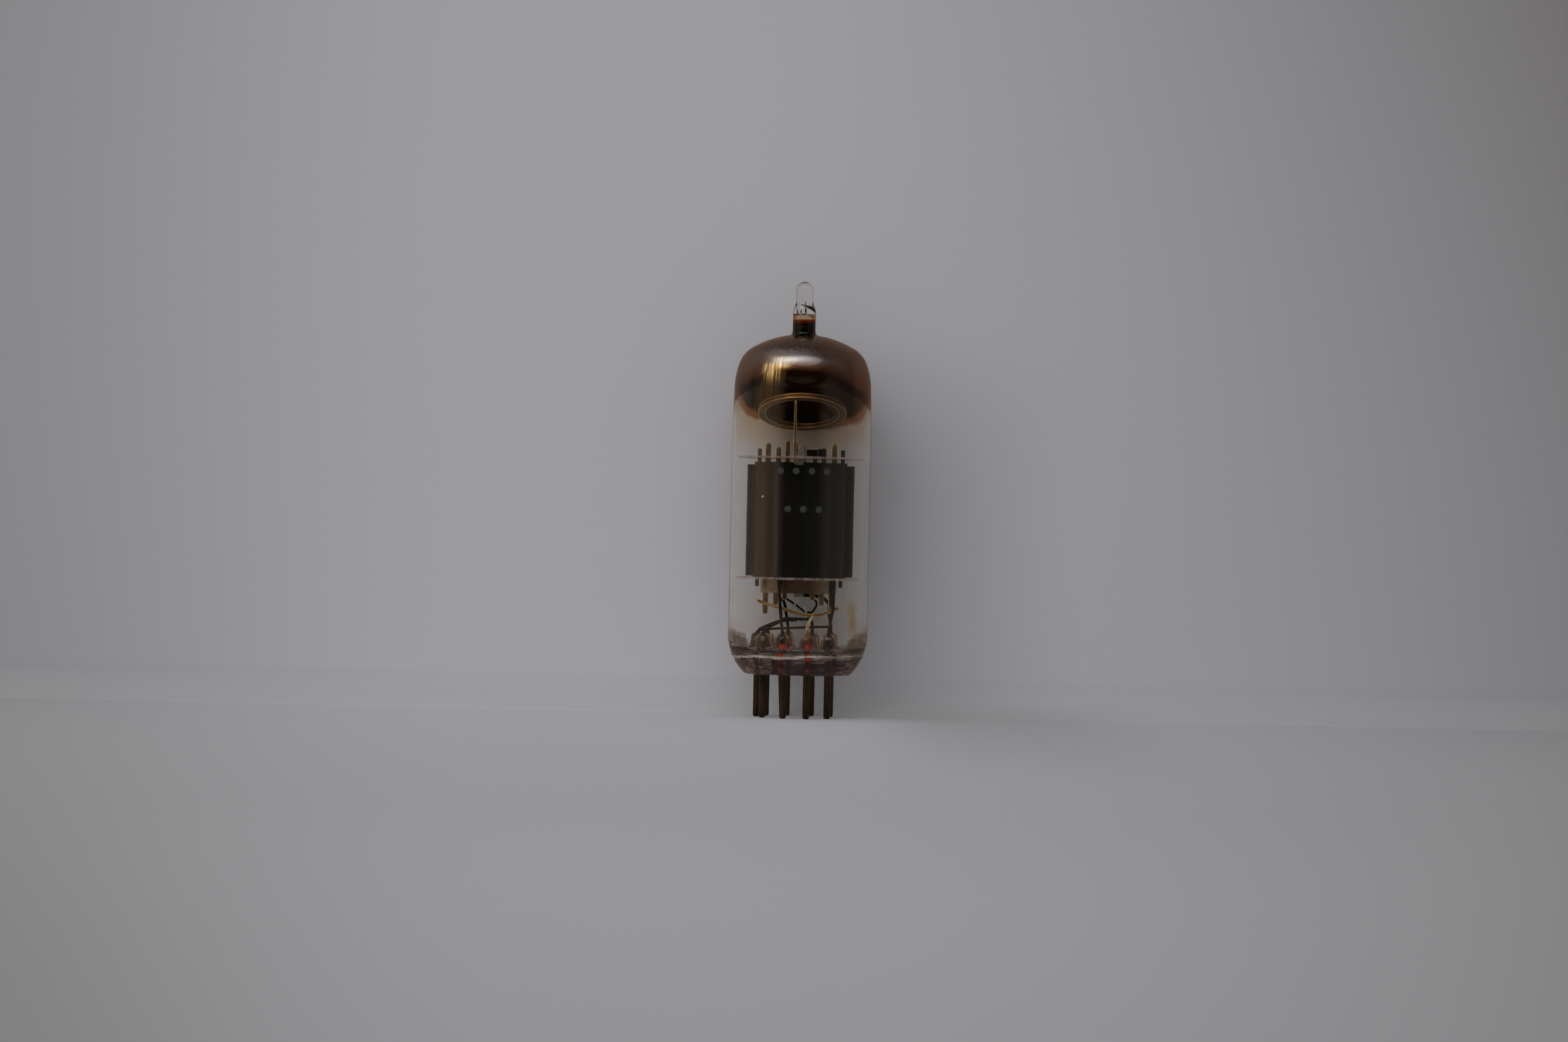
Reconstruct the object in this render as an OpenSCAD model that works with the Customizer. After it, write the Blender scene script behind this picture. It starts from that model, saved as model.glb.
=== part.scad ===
// Nine-pin miniature pentode: a sealed glass bulb on a pressed glass stem, with its electrodes
// carried between two mica discs. Millimetres, standing on the ends of its pins, +Z towards the tip.
// Seen from the front the viewer looks along +Y.

/* [Base pins] */
// Diameter of the circle that the pins stand on
pin_circle_d = 11.89; // [11:0.01:14]
// Diameter of a base pin
pin_d = 1.016; // [0.8:0.001:1.25]
// Length of a pin below the glass
pin_len = 6.45; // [5:0.05:9]
// Depth to which a pin is sealed into the glass
pin_seat = 0.9; // [0.5:0.05:1.2]
// How much thinner a pin is, on radius, inside the glass
pin_neck = 0.18; // [0.16:0.01:0.2]
// Radius of the rounding at the end of a pin
pin_round = 0.35; // [0.1:0.05:0.38]
// Angle between neighbouring pins
pin_step = 36; // [32:1:36]
// Clock position of the gap in the ring of pins, from +Y
gap_angle = 94; // [0:1:180]
// Lean of the bent pin
bent_pin_lean = 2.4; // [0:0.1:4]

/* [Bulb] */
// Outside diameter of the bulb
bulb_d = 20.8; // [20.4:0.1:26]
// Thickness of the glass wall
wall = 0.9; // [0.6:0.05:1.2]
// How much narrower the bulb is, on radius, at its shoulder
shoulder_draw = 0.2; // [0:0.05:0.6]
// Radius of the long curve above the side
side_arc_r = 11.4; // [9:0.1:16]
// Angle at which the side curve meets the shoulder
side_angle = 20; // [10:1:30]
// Radius of the shoulder
shoulder_r = 4.43; // [3.5:0.01:5]
// Radius of the crown
crown_r = 15.1; // [13:0.1:22]
// Radius of the curve under the side, down to the foot
foot_arc_r = 8.45; // [7:0.05:9.5]
// Height of that curve above the underside
foot_arc_h = 6.05; // [5:0.05:6.5]
// Rounding of the edge round the underside
foot_round = 0.5; // [0.2:0.05:1]

/* [Exhaust tip] */
// Outside radius of the neck
neck_r = 1.7; // [1.4:0.05:2.1]
// Bore radius of the neck
bore_r = 1.05; // [0.7:0.05:1.1]
// Length of the neck above the crown
neck_h = 3.2; // [2:0.1:5]
// Radius of the sealed end
tip_r = 1.25; // [1:0.05:1.35]
// Length of the sealed end above the neck
tip_h = 4.65; // [3.6:0.05:7]
// Fillet between crown and neck
neck_fillet = 0.45; // [0.2:0.05:0.8]

/* [Stem] */
// Thickness of the button
button_t = 3.35; // [3:0.05:4.2]
// Height of the fused seam above the underside
seam_h = 2.75; // [2.2:0.05:2.9]
// Radius of the hollow where the inside wall runs into the button
hollow_r = 1.8; // [1.4:0.1:3]
// Width of the bulb's foot at the seam
seam_w = 1.5; // [1.2:0.05:1.7]
// Radius of the glass mound round each lead
mound_r = 1.4; // [1.1:0.05:1.6]
// Height of the mound
mound_h = 2.7; // [2.2:0.1:3.4]

/* [Leads] */
// Diameter of the copper-clad seal wire
seal_d = 0.6; // [0.5:0.05:0.8]
// Length of the seal wire
seal_len = 3.85; // [3.3:0.05:4.1]
// Diameter of an inner lead
lead_d = 0.5; // [0.36:0.02:0.5]

/* [Electrodes] */
// Height of the lower mica above the button
mount_h = 10.75; // [10.5:0.05:14]
// Height of the anode
anode_h = 17.65; // [12:0.05:24]
// Half of the width between the centres of the anode's end curves
anode_cx = 3.9; // [3.7:0.05:4.3]
// Radius of the anode's end curves
anode_end_r = 3.0; // [2.7:0.05:3.2]
// Half of the anode's depth
anode_b = 4.5; // [4:0.05:5]
// Half of the width over the welded flanges
flange_x = 7.97; // [7.5:0.01:8.2]
// How far the anode's body stops short of the upper mica
body_drop = 0.55; // [0.1:0.05:0.9]
// How far its flanges stop short of the upper mica
flange_drop = 0.95; // [0.3:0.05:1.5]
// How far they stop short of the lower mica
flange_lift = 0.15; // [0.1:0.05:0.5]
// Thickness of the anode sheet
sheet = 0.25; // [0.15:0.01:0.35]
// Half spacing of the suppressor side rods
g3_x = 4.95; // [4.7:0.05:5]
// Radius of the suppressor side rods
g3_r = 0.47; // [0.35:0.01:0.5]
// Half spacing of the screen side rods
g2_x = 3.4; // [3.2:0.05:3.5]
// Radius of the screen side rods
g2_r = 0.42; // [0.3:0.01:0.45]
// Half spacing of the control grid side rods
g1_x = 2.05; // [1.8:0.05:2.1]
// Radius of the control grid side rods
g1_r = 0.4; // [0.3:0.01:0.42]
// Radius of the grid winding wire
winding_r = 0.05; // [0.03:0.01:0.07]
// Turns of the control grid winding
g1_turns = 26; // [8:1:30]
// Turns of the screen winding
g2_turns = 22; // [8:1:26]
// Turns of the suppressor winding
g3_turns = 8; // [4:1:12]
// Width of the cathode sleeve
cathode_w = 1.4; // [1.2:0.05:1.5]
// Depth of the cathode sleeve
cathode_d = 0.8; // [0.7:0.05:0.85]
// Wall of the cathode sleeve
cathode_t = 0.08; // [0.05:0.01:0.1]
// Height of the tray under the lower mica
tray_h = 2.05; // [1.5:0.05:2.6]

/* [Mica] */
// Thickness of a mica disc
mica_t = 0.3; // [0.2:0.05:0.4]
// Length of the rim teeth that grip the bulb
tooth = 0.7; // [0.3:0.05:1]
// Number of rim teeth
teeth = 18; // [12:1:24]
// Clearance of a tooth from the glass, and of a rod in its hole
fit = 0.03; // [0.01:0.01:0.08]

/* [Getter] */
// Outside radius of the getter ring
ring_r = 6.6; // [5.5:0.1:7]
// Width of the channel
ring_w = 1.15; // [0.8:0.05:1.3]
// Height of the channel
ring_h = 0.7; // [0.5:0.02:1]
// Thickness of the channel's sheet
ring_t = 0.14; // [0.1:0.01:0.2]
// Tilt of the ring, near side up
ring_tilt = 20.8; // [0:0.1:24]
// Height of the ring's centre above the upper mica
ring_up = 6.7; // [5.5:0.1:9]
// Height from the ring's centre to the inside of the crown
dome_up = 10.66; // [10:0.02:14]
// Height of the metal film's edge above the ring's centre
film_up = 0.8; // [0.5:0.1:3]
// Tilt of the film's edge
film_tilt = 24; // [0:0.5:26]
// How much higher the film's edge lies on the left
film_roll = 3; // [0:0.5:5]
// Thickness of the film
film_t = 0.05; // [0.03:0.01:0.1]

/* [Hidden] */
$fn = 64;
arc_steps = 10;
lead_sides = 8;
pins = 9;
bent_pin = 7;
pin_r = pin_d / 2;
seat_r = pin_r - pin_neck;
knee = 0.3;
seal_r = seal_d / 2;
lead_r = lead_d / 2;
bulb_r = bulb_d / 2;
bore_in = bulb_r - wall;
shoulder_top_r = bulb_r - shoulder_draw;

// Heights, from the pin ends up
under_z = pin_len;
seam_z = under_z + seam_h;
floor_z = under_z + button_t;
mound_z = floor_z + mound_h;
seal_z = under_z + pin_seat + seal_len;
mica_lo_z = floor_z + mount_h;
anode_z = mica_lo_z + mica_t;
mica_hi_z = anode_z + anode_h;
ring_z = mica_hi_z + mica_t + ring_up;
dome_z = ring_z + dome_up + wall;
neck_z = dome_z + neck_h;
top_z = neck_z + tip_h;
tray_z = mica_lo_z - tray_h;
rod_top = mica_hi_z + mica_t + 1.3;

// Centres of the arcs of the bulb's outline, as [radius, height]
foot_c = [bulb_r - foot_arc_r, under_z + foot_arc_h];
edge_c = [foot_c[0] + sqrt(pow(foot_arc_r - foot_round, 2) - pow(foot_arc_h - foot_round, 2)),
          under_z + foot_round];
edge_angle = atan2(edge_c[1] - foot_c[1], edge_c[0] - foot_c[0]);
seam_angle = asin((seam_z - foot_c[1]) / foot_arc_r);
crown_c = [0, dome_z - crown_r];
shoulder_cx = shoulder_top_r - side_arc_r + (side_arc_r - shoulder_r) * cos(side_angle);
crown_angle = acos(shoulder_cx / (crown_r - shoulder_r));
shoulder_c = crown_c + (crown_r - shoulder_r) * [cos(crown_angle), sin(crown_angle)];
side_c = shoulder_c - (side_arc_r - shoulder_r) * [cos(side_angle), sin(side_angle)];
fillet_angle = acos((neck_r + neck_fillet) / (crown_r + neck_fillet));
fillet_c = crown_c + (crown_r + neck_fillet) * [cos(fillet_angle), sin(fillet_angle)];
hollow_c = [bore_in - hollow_r, floor_z + hollow_r];
seam_in_r = bore_in - seam_w;
hollow_angle = -acos((seam_in_r - hollow_c[0]) / hollow_r);
straight_z = side_c[1] - 8.8;

// Outline of a pin's exposed end and of its root in the glass, about the knee
pin_end = concat([[0, knee - pin_len]],
                 arc([pin_r - pin_round, pin_round + knee - pin_len], pin_round, -90, 0, 5));
pin_root = [[pin_r, knee], [seat_r, knee], [seat_r, knee + pin_seat], [0, knee + pin_seat]];

// Tabs of the anode that pass through the micas, and the reach of their section in depth
tab_x = 6.2;
tab_w = 0.5;
tab_len = mica_t + 1.1;
tab_in = sqrt(pow(anode_end_r - sheet, 2) - pow(tab_x + tab_w / 2 - anode_cx, 2));
tab_out = sqrt(pow(anode_end_r, 2) - pow(tab_x - tab_w / 2 - anode_cx, 2));
lead_tab_x = -2.85;

// Tray under the lower mica, and the strap laid on it where its end curve stops
tray_cx = 4.35;
tray_end_r = 1.3;
tray_b = 2.4;
tray_t = 0.2;
strap_w = 0.9;
strap_t = 0.15;
strap_low = tray_z - 1.85;
strap_turn = asin(tray_cx / (side_r(tray_cx, tray_end_r, tray_b) - tray_end_r)) - 90;

// Lower ends of the grid rods, the heater in the sleeve, and the wires that join things below
touch = 0.02;
g3_low = tray_z - 3.2;
g2_low = tray_z - 1.85;
g1_low = tray_z - 1.1;
heater_r = 0.12;
heater_pitch = 0.3;
heater_low = tray_z - 0.95;
heater_ends = [[-0.55, 0, mound_z + 2.24], [1.4, 0, mound_z + 2.42]];
sag_y = -1.9;
sag_z = mound_z + 2.8;
vee_r = 0.17;
vee_y = 1.9;

// Upright that carries the getter ring, from the upper mica to the middle of the channel
support_r = 0.2;
support_x = -1.0;
ring_mid = ring_r - ring_w / 2;
ring_reach = sqrt(ring_mid * ring_mid - support_x * support_x);
support_y = -ring_reach * cos(ring_tilt) - ring_h / 2 * sin(ring_tilt);
support_top = ring_z + ring_reach * sin(ring_tilt) - ring_h / 2 * cos(ring_tilt)
              - support_r * tan(ring_tilt) - touch;
foot_y = min(support_y, -anode_b - support_r - 0.05);
foot_strap = [0.8, 0.15, 2.2];

// Height over the upper mica of the clips on two of the rods, and their sheet
clip_h = 1.1;
clip_t = 0.12;

glass = [0.80, 0.84, 0.82, 0.35];
stem_glass = [0.74, 0.78, 0.76, 0.5];
pin_metal = [0.20, 0.17, 0.13];
copper_clad = [0.62, 0.16, 0.10];
nickel = [0.42, 0.38, 0.32];
dark_nickel = [0.18, 0.16, 0.13];
carbonised = [0.07, 0.07, 0.065];
mica_tone = [0.74, 0.68, 0.60, 0.6];
film_tone = [0.16, 0.11, 0.09];

// Points on an arc of a plane outline
function arc(c, r, a0, a1, n = arc_steps) = [for (i = [0:n]) c + r * [cos(a0 + (a1 - a0) * i / n),
                                                                    sin(a0 + (a1 - a0) * i / n)]];
function turned(p) = [for (i = [len(p) - 1:-1:0]) p[i]];
function unit(v) = v / norm(v);
// Clock position and place of a pin, counted from the gap
function pin_angle(k) = gap_angle - pin_step * k;
function pin_at(k) = pin_circle_d / 2 * [sin(pin_angle(k)), cos(pin_angle(k))];
function place(xy, z) = [xy[0], xy[1], z];

// Oval of four arcs: end arcs of radius end_r about [+-cx, 0], side arcs that reach y = +-b.
// The points run from the right end over the near side (-Y) to the left end.
function side_r(cx, end_r, b) = (cx * cx + b * b - end_r * end_r) / (2 * (b - end_r));
function near_half(cx, end_r, b, inset = 0, n = arc_steps) =
    let (big = side_r(cx, end_r, b), spread = asin(cx / (big - end_r)))
    concat(arc([cx, 0], end_r - inset, 0, spread - 90, n),
           [for (p = arc([0, big - b], big - inset, spread - 90, -90 - spread, n)) p],
           arc([-cx, 0], end_r - inset, -90 - spread, -180, n));
function oval(cx, end_r, b, inset = 0, n = arc_steps) =
    let (near = near_half(cx, end_r, b, inset, n))
    concat(near, [for (i = [1:len(near) - 2]) -near[i]]);

// Smooth curve through hand-chosen points
function blend_point(a, b, c, d, t) =
    0.5 * (2 * b + (c - a) * t + (2 * a - 5 * b + 4 * c - d) * t * t + (3 * b - a - 3 * c + d) * t * t * t);
function smooth(p, n) = concat(
    [for (i = [0:len(p) - 2], k = [0:n - 1])
        blend_point(p[max(i - 1, 0)], p[i], p[i + 1], p[min(i + 2, len(p) - 1)], k / n)],
    [p[len(p) - 1]]);

// Direction of a path at a point, and a side vector carried along without twisting
function along(p, i) = unit(p[min(i + 1, len(p) - 1)] - p[max(i - 1, 0)]);
function carried(n, t) = unit(n - (n * t) * t);
function side_vectors(p, n, i = 0) =
    i == len(p) ? [] : let (m = carried(n, along(p, i))) concat([m], side_vectors(p, m, i + 1));
function tube_faces(rings, sides) = concat(
    [[for (k = [0:sides - 1]) k]],
    [for (i = [0:rings - 2], k = [0:sides - 1]) let (low = i * sides, next = (k + 1) % sides)
        [low + k, low + sides + k, low + sides + next, low + next]],
    [[for (k = [sides - 1:-1:0]) (rings - 1) * sides + k]]);

// Round wire along a path, its ring of sides starting at the side vector
module wire(path, r, start = [1, 0, 0], sides = lead_sides) {
    n = side_vectors(path, start);
    points = [for (i = [0:len(path) - 1])
        let (t = along(path, i), u = n[i], v = cross(t, u))
        for (k = [0:sides - 1]) path[i] + r * (cos(360 * k / sides) * u + sin(360 * k / sides) * v)];
    polyhedron(points, tube_faces(len(path), sides), convexity = 6);
}

// Flat ribbon along a path in which the side vector is the ribbon's width
module ribbon(path, w, t, across) {
    n = side_vectors(path, across);
    points = [for (i = [0:len(path) - 1])
        let (d = along(path, i), u = n[i], v = cross(d, u))
        for (c = [[1, 1], [-1, 1], [-1, -1], [1, -1]]) path[i] + c[0] * w / 2 * u + c[1] * t / 2 * v];
    polyhedron(points, tube_faces(len(path), 4), convexity = 6);
}

// Blown bulb with its drawn exhaust tip
module glass_bulb() {
    outside = concat(
        arc(foot_c, foot_arc_r, seam_angle, 0),
        [[bulb_r, straight_z]],
        arc(side_c, side_arc_r, 0, side_angle, 5),
        arc(shoulder_c, shoulder_r, side_angle, crown_angle),
        arc(crown_c, crown_r, crown_angle, fillet_angle, 6),
        arc(fillet_c, neck_fillet, fillet_angle + 180, 180, 4),
        [for (i = [0:6]) [tip_r + (neck_r - tip_r) * (1 + cos(30 * i)) / 2, neck_z + i * 0.3]],
        arc([0, top_z - tip_r], tip_r, 0, 90));
    inside = concat(
        arc(hollow_c, hollow_r, hollow_angle, 0, 6),
        [[bore_in, straight_z]],
        arc(side_c, side_arc_r - wall, 0, side_angle, 5),
        arc(shoulder_c, shoulder_r - wall, side_angle, crown_angle),
        arc(crown_c, crown_r - wall, crown_angle, acos(bore_r / (crown_r - wall)), 6),
        [for (a = [0:15:90]) [bore_r * cos(a), neck_z - 0.6 + 0.6 * sin(a)]]);
    color(glass) rotate_extrude() polygon(concat([[seam_in_r, seam_z]], outside, turned(inside)));
}

// Pressed button with a mound round each lead and a pip from the mould
module button_stem() {
    pip_r = 0.35;
    pip_h = 0.2;
    outside = concat([[0, under_z]], arc(edge_c, foot_round, -90, edge_angle, 4),
                     arc(foot_c, foot_arc_r, edge_angle, seam_angle, 6));
    inside = concat([[seam_in_r, seam_z]], turned(arc(hollow_c, hollow_r, -90, hollow_angle, 4)),
                    [[0, floor_z]]);
    color(stem_glass) difference() {
        union() {
            rotate_extrude() polygon(concat(outside, inside));
            for (k = [1:pins]) translate(place(pin_at(k), 0)) mound();
            translate([0, 0, under_z - pip_h]) cylinder(r = pip_r, h = pip_h + 0.3);
        }
        for (k = [1:pins]) translate(place(pin_at(k), 0)) {
            translate([0, 0, under_z - 1]) cylinder(r = seat_r, h = 1 + pin_seat);
            translate([0, 0, under_z]) cylinder(r = seal_r, h = pin_seat + seal_len);
            translate([0, 0, under_z]) cylinder(r = lead_r, h = button_t + mound_h + 1);
        }
    }
}
module mound() {
    bell = [for (a = [0:15:75])
        [mound_r * (0.8 * sqrt(cos(a)) + 0.2 * (1 - sin(a))), floor_z + mound_h * sin(a)]];
    rotate_extrude() polygon(concat([[0, floor_z - 0.5], [mound_r, floor_z - 0.5]], bell, [[0, mound_z]]));
}

// Base pin: a root sealed in the glass and the exposed length below it, mitred at the knee where it is bent
module base_pin(k) {
    lean = k == bent_pin ? bent_pin_lean : 0;
    color(pin_metal) translate(place(pin_at(k), under_z - knee)) if (lean == 0) {
        rotate_extrude() polygon(concat(pin_end, pin_root));
    } else union() {
        difference() {
            rotate_extrude() polygon(concat([[0, -knee], [pin_r, -knee]], pin_root));
            mitre(-1, lean);
        }
        difference() {
            rotate([0, -lean, 0]) rotate_extrude() polygon(concat(pin_end, [[pin_r, knee], [0, knee]]));
            mitre(1, lean);
        }
    }
}
module mitre(side, lean) {
    rotate([0, -lean / 2, 0]) translate([0, 0, side]) cube(2, center = true);
}
module seal_wire(k) {
    color(copper_clad) translate(place(pin_at(k), under_z + pin_seat)) cylinder(r = seal_r, h = seal_len);
}

// Wire from the top of a seal wire, straight up through its mound and on through the given points
module inner_lead(k, points, tone = dark_nickel) {
    xy = pin_at(k);
    route = concat([place(xy, mound_z + 0.1)], points);
    color(tone) wire(concat([place(xy, seal_z), place(xy, mound_z - 0.3)], smooth(route, 4)), lead_r);
}
module cathode_lead() {
    weld_y = ribbon_end()[1] + 0.05 + lead_r + touch;
    inner_lead(1, [place(pin_at(1) + [-0.1, -0.02], mound_z + 1.5),
                   [ribbon_end()[0] - 0.15, weld_y, mound_z + 3],
                   [ribbon_end()[0] - 0.1, weld_y, ribbon_end()[2] + 0.3]]);
}
module control_grid_lead() {
    weld_y = vee_y + vee_r + lead_r + 4 * touch;
    inner_lead(2, [place(pin_at(2) + [-0.05, -0.2], mound_z + 1.4), [1.95, 3.4, mound_z + 2.3],
                   [1.75, weld_y, mound_z + 2.6], [1.65, weld_y, mound_z + 3.3]]);
}
module screen_lead() {
    weld_y = g2_r + lead_r + touch;
    inner_lead(3, [place(pin_at(3) + [-0.05, -0.3], mound_z + 1), [-1.75, 4.4, mound_z + 2.7],
                   [-2.15, 2.5, tray_z - 1.3], [-2.9, 1.1, tray_z - 0.95], [-g2_x, weld_y, tray_z - 1.3]]);
}
module heater_lead_a() {
    inner_lead(4, [place(pin_at(4) + [0.2, -0.3], mound_z + 0.7), [-2.7, 2.9, mound_z + 1.6],
                   [-1.9, 2.5, mound_z + 2.1], [0.6, 1.1, mound_z + 2.1],
                   heater_ends[1] - [0, 0, lead_r + touch], heater_ends[1] - [-0.3, 0.3, lead_r + touch]]);
}
module heater_lead_b() {
    inner_lead(5, [place(pin_at(5) + [0.45, -0.05], mound_z + 0.6), [-3.2, 0.2, mound_z + 1.6],
                   [-1.9, 0.1, mound_z + 1.9], heater_ends[0] - [0, 0, lead_r + touch],
                   heater_ends[0] - [-0.4, 0, lead_r + touch]]);
}
module shield_stub() {
    inner_lead(6, [place(pin_at(6) + [0.05, 0.02], mound_z + 0.5),
                   place(pin_at(6) + [0.12, 0.05], mound_z + 1)]);
}
module anode_lead() {
    weld_y = anode_face(lead_tab_x) - lead_r - touch;
    inner_lead(7, [[pin_at(7)[0] - 0.25, pin_at(7)[1] + 0.15, mound_z + 2.2],
                   [lead_tab_x + 0.1, weld_y - 0.3, mound_z + 5.2],
                   [lead_tab_x, weld_y, mica_lo_z - 1.5], [lead_tab_x, weld_y, mica_lo_z - 0.25]]);
}
module suppressor_lead() {
    inner_lead(8, [place(pin_at(8) + [-0.05, 0.15], mound_z + 0.9), [1.65, -4.2, mound_z + 1.8],
                   [2.0, -2.9, mound_z + 2.4], [2.2, sag_y - 2 * lead_r - touch, sag_z - 0.1],
                   [2.2, sag_y - 2 * lead_r - touch, sag_z + 0.2]], nickel);
}
module shield_lead() {
    end = strap_at(strap_t / 2 + lead_r + touch);
    inner_lead(9, [place(pin_at(9) + [0.1, 0.15], mound_z + 1.2), [4.95, -2.8, mound_z + 2.7],
                   place(end + [0.02, -0.15], strap_low - 0.2), place(end, strap_low + 0.9)]);
}

// Wire that joins the two suppressor rods, sagging between them
module suppressor_link() {
    weld_y = -g3_r - lead_r - touch;
    color([0.62, 0.50, 0.30]) wire(smooth([
        [-6.15, weld_y - 0.2, g3_low + 2.05], [-g3_x, weld_y, g3_low + 1.6], [-g2_x, -1.15, sag_z + 1.2],
        [-1, -1.65, sag_z + 0.5], [1, sag_y, sag_z + 0.08], [2.2, sag_y, sag_z], [3.6, -1.35, sag_z + 0.15],
        [g3_x, weld_y, g3_low + 0.7], [6.1, weld_y - 0.08, g3_low + 1.15]], 3), lead_r, [0, 0, 1]);
}
// Vee of wire from one control grid rod down to the lead and up to the other rod
module control_grid_link() {
    weld_y = g1_r + vee_r + touch;
    color(dark_nickel) wire(smooth([
        [-g1_x - 0.35, weld_y, g1_low + 0.55], [-g1_x, weld_y, g1_low + 0.4], [-0.3, 1.35, g1_low - 0.7],
        [1.4, vee_y, mound_z + 2.95], [2.0, vee_y - 0.05, mound_z + 3.1], [2.65, 1.35, mound_z + 4],
        [2.7, 0.95, g1_low - 0.1], [g1_x, weld_y, g1_low + 0.3]], 3), vee_r, [0, 0, 1]);
}
// Wire low over the mounds that joins the two leads of the shield
module shield_link() {
    near = lead_r + 0.2 + touch;
    color(dark_nickel) wire(smooth([
        place(pin_at(6) + [-0.8, near - 0.05], mound_z + 0.4),
        place(pin_at(6) + [0.05, near + 0.07], mound_z + 0.5),
        [-3.2, -2.45, mound_z + 0.7], [2, -2.6, mound_z + 1],
        place(pin_at(9) + [-0.05, near + 0.2], mound_z + 1.15),
        place(pin_at(9) + [0.5, near + 0.28], mound_z + 1.2)], 4), 0.2, [0, 0, 1]);
}

// Strap between the tray and the front shield lead
function strap_at(out) =
    [tray_cx, 0] + (tray_end_r + touch + strap_t / 2 + out) * [cos(strap_turn), sin(strap_turn)];
module shield_strap() {
    color(dark_nickel) translate(place(strap_at(0), strap_low)) rotate([0, 0, strap_turn])
        translate([-strap_t / 2, -strap_w / 2, 0]) cube([strap_t, strap_w, mica_lo_z - strap_low - touch]);
}

// Ribbon from the cathode sleeve to its lead
function ribbon_end() = [4.8, 2.75, tray_z - 2.1];
module cathode_ribbon() {
    start = [cathode_w / 2 + 0.09, 0, tray_z - 0.3];
    color(dark_nickel) ribbon([start - [0, 0.15, 0], start + [0, 0.6, 0], start + [0.5, 1.5, -0.02],
                               start + [1.8, 2.1, -0.05], start + [3.0, 2.5, -0.35],
                               ribbon_end() + [-0.25, -0.03, 0.7], ribbon_end()], 0.5, 0.1, [0, 0, 1]);
}

module side_rod(x, r, low, high) {
    color(nickel) translate([x, 0, 0]) union() {
        translate([0, 0, low + r]) cylinder(r = r, h = high - low - 2 * r);
        translate([0, 0, low + r]) sphere(r = r);
        translate([0, 0, high - r]) sphere(r = r);
    }
}

// Clip of folded sheet beside a rod, on the upper mica: its near face is welded to the rod
module rod_clip(x0, x1, rod_r, h) {
    face = -rod_r - touch;
    color(dark_nickel) translate([0, 0, mica_hi_z + mica_t + touch]) linear_extrude(h)
        polygon([[x0, 0.3], [x0, face - clip_t], [x1, face - clip_t], [x1, face],
                 [x0 + clip_t, face], [x0 + clip_t, 0.3]]);
}

// Grid winding: a helix on an oval that passes just outside its two side rods
module winding(x, rod_r, b, turns, sides_n = 3) {
    end_r = (rod_r + winding_r + 0.015) / cos(22.5);
    loop = oval(x, end_r, b, 0, sides_n);
    count = len(loop);
    low = anode_z + 1.2;
    pitch = (anode_h - 2.4) / turns;
    path = [for (i = [0:turns * count]) place(loop[i % count], low + pitch * i / count)];
    color(nickel) ribbon(path, winding_r * 2, winding_r * 2, [0, 0, 1]);
}

module cathode_sleeve() {
    low = tray_z - 0.55;
    high = mica_hi_z + mica_t + 1.7;
    color([0.72, 0.70, 0.66]) translate([0, 0, low]) linear_extrude(high - low) difference() {
        stadium(cathode_w, cathode_d);
        stadium(cathode_w - 2 * cathode_t, cathode_d - 2 * cathode_t);
    }
}
module stadium(w, d) {
    square([w - d, d], center = true);
    for (s = [-1, 1]) translate([s * (w - d) / 2, 0]) circle(d = d);
}

// Coated heater wire, folded four times inside the sleeve, its ends hanging down to the leads
module heater() {
    high = mica_hi_z + mica_t + 1.1;
    bend = heater_pitch / 2;
    fold = [for (a = [180:-45:0]) [bend * cos(a), bend * sin(a)]];
    legs = concat(
        [[heater_ends[0][0], heater_ends[0][2]], [-3 * bend, heater_low]],
        [for (p = fold) [p[0] - 2 * bend, p[1] + high]],
        [for (p = fold) [p[0], heater_low - 0.2 - p[1]]],
        [for (p = fold) [p[0] + 2 * bend, p[1] + high]],
        [[3 * bend, heater_low], [heater_ends[1][0], heater_ends[1][2]]]);
    color([0.9, 0.89, 0.86]) wire([for (p = legs) [p[0], 0, p[1]]], heater_r, [0, 1, 0], 6);
}

// Where the outside of the anode's near face is, at a distance from its middle
function anode_face(x) =
    let (big = side_r(anode_cx, anode_end_r, anode_b)) big - anode_b - sqrt(big * big - x * x);

module anode_section() {
    polygon(concat(near_half(anode_cx, anode_end_r, anode_b),
                   turned(near_half(anode_cx, anode_end_r, anode_b, sheet))));
}
module anode_half() {
    edge = anode_cx + anode_end_r;
    difference() {
        union() {
            linear_extrude(anode_h - body_drop) anode_section();
            for (s = [-1, 1]) translate([s * (edge - sheet + flange_x) / 2, -sheet / 2, flange_lift])
                linear_extrude(anode_h - flange_drop - flange_lift)
                    square([flange_x - edge + sheet, sheet], center = true);
            translate([0, 0, -tab_len]) linear_extrude(anode_h + 2 * tab_len) intersection() {
                anode_section();
                for (s = [-1, 1]) translate([s * tab_x - tab_w / 2, -anode_b]) square([tab_w, anode_b]);
            }
        }
        for (s = [-1, 1], z = [0.12, 0.5, 0.88])
            translate([s * (edge + flange_x) / 2, -sheet - 0.01, anode_h * z]) rotate([-90, 0, 0])
                cylinder(r = 0.28, h = 0.08);
    }
}
module front_anode() {
    color(carbonised) translate([0, 0, anode_z]) union() {
        anode_half();
        intersection() {
            translate([0, 0, -2.2]) linear_extrude(3) intersection() {
                anode_section();
                translate([lead_tab_x - 0.35, -anode_b]) square([0.7, 1.5]);
            }
            translate([lead_tab_x, 0, 0]) rotate([90, 0, 0]) linear_extrude(anode_b + 1)
                polygon([[-0.35, 3], [-0.35, -0.9], [-0.12, -2.2], [0.12, -2.2], [0.35, -0.9], [0.35, 3]]);
        }
    }
}
module rear_anode() {
    color(carbonised) translate([0, 0, anode_z]) rotate([0, 0, 180]) anode_half();
}

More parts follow.
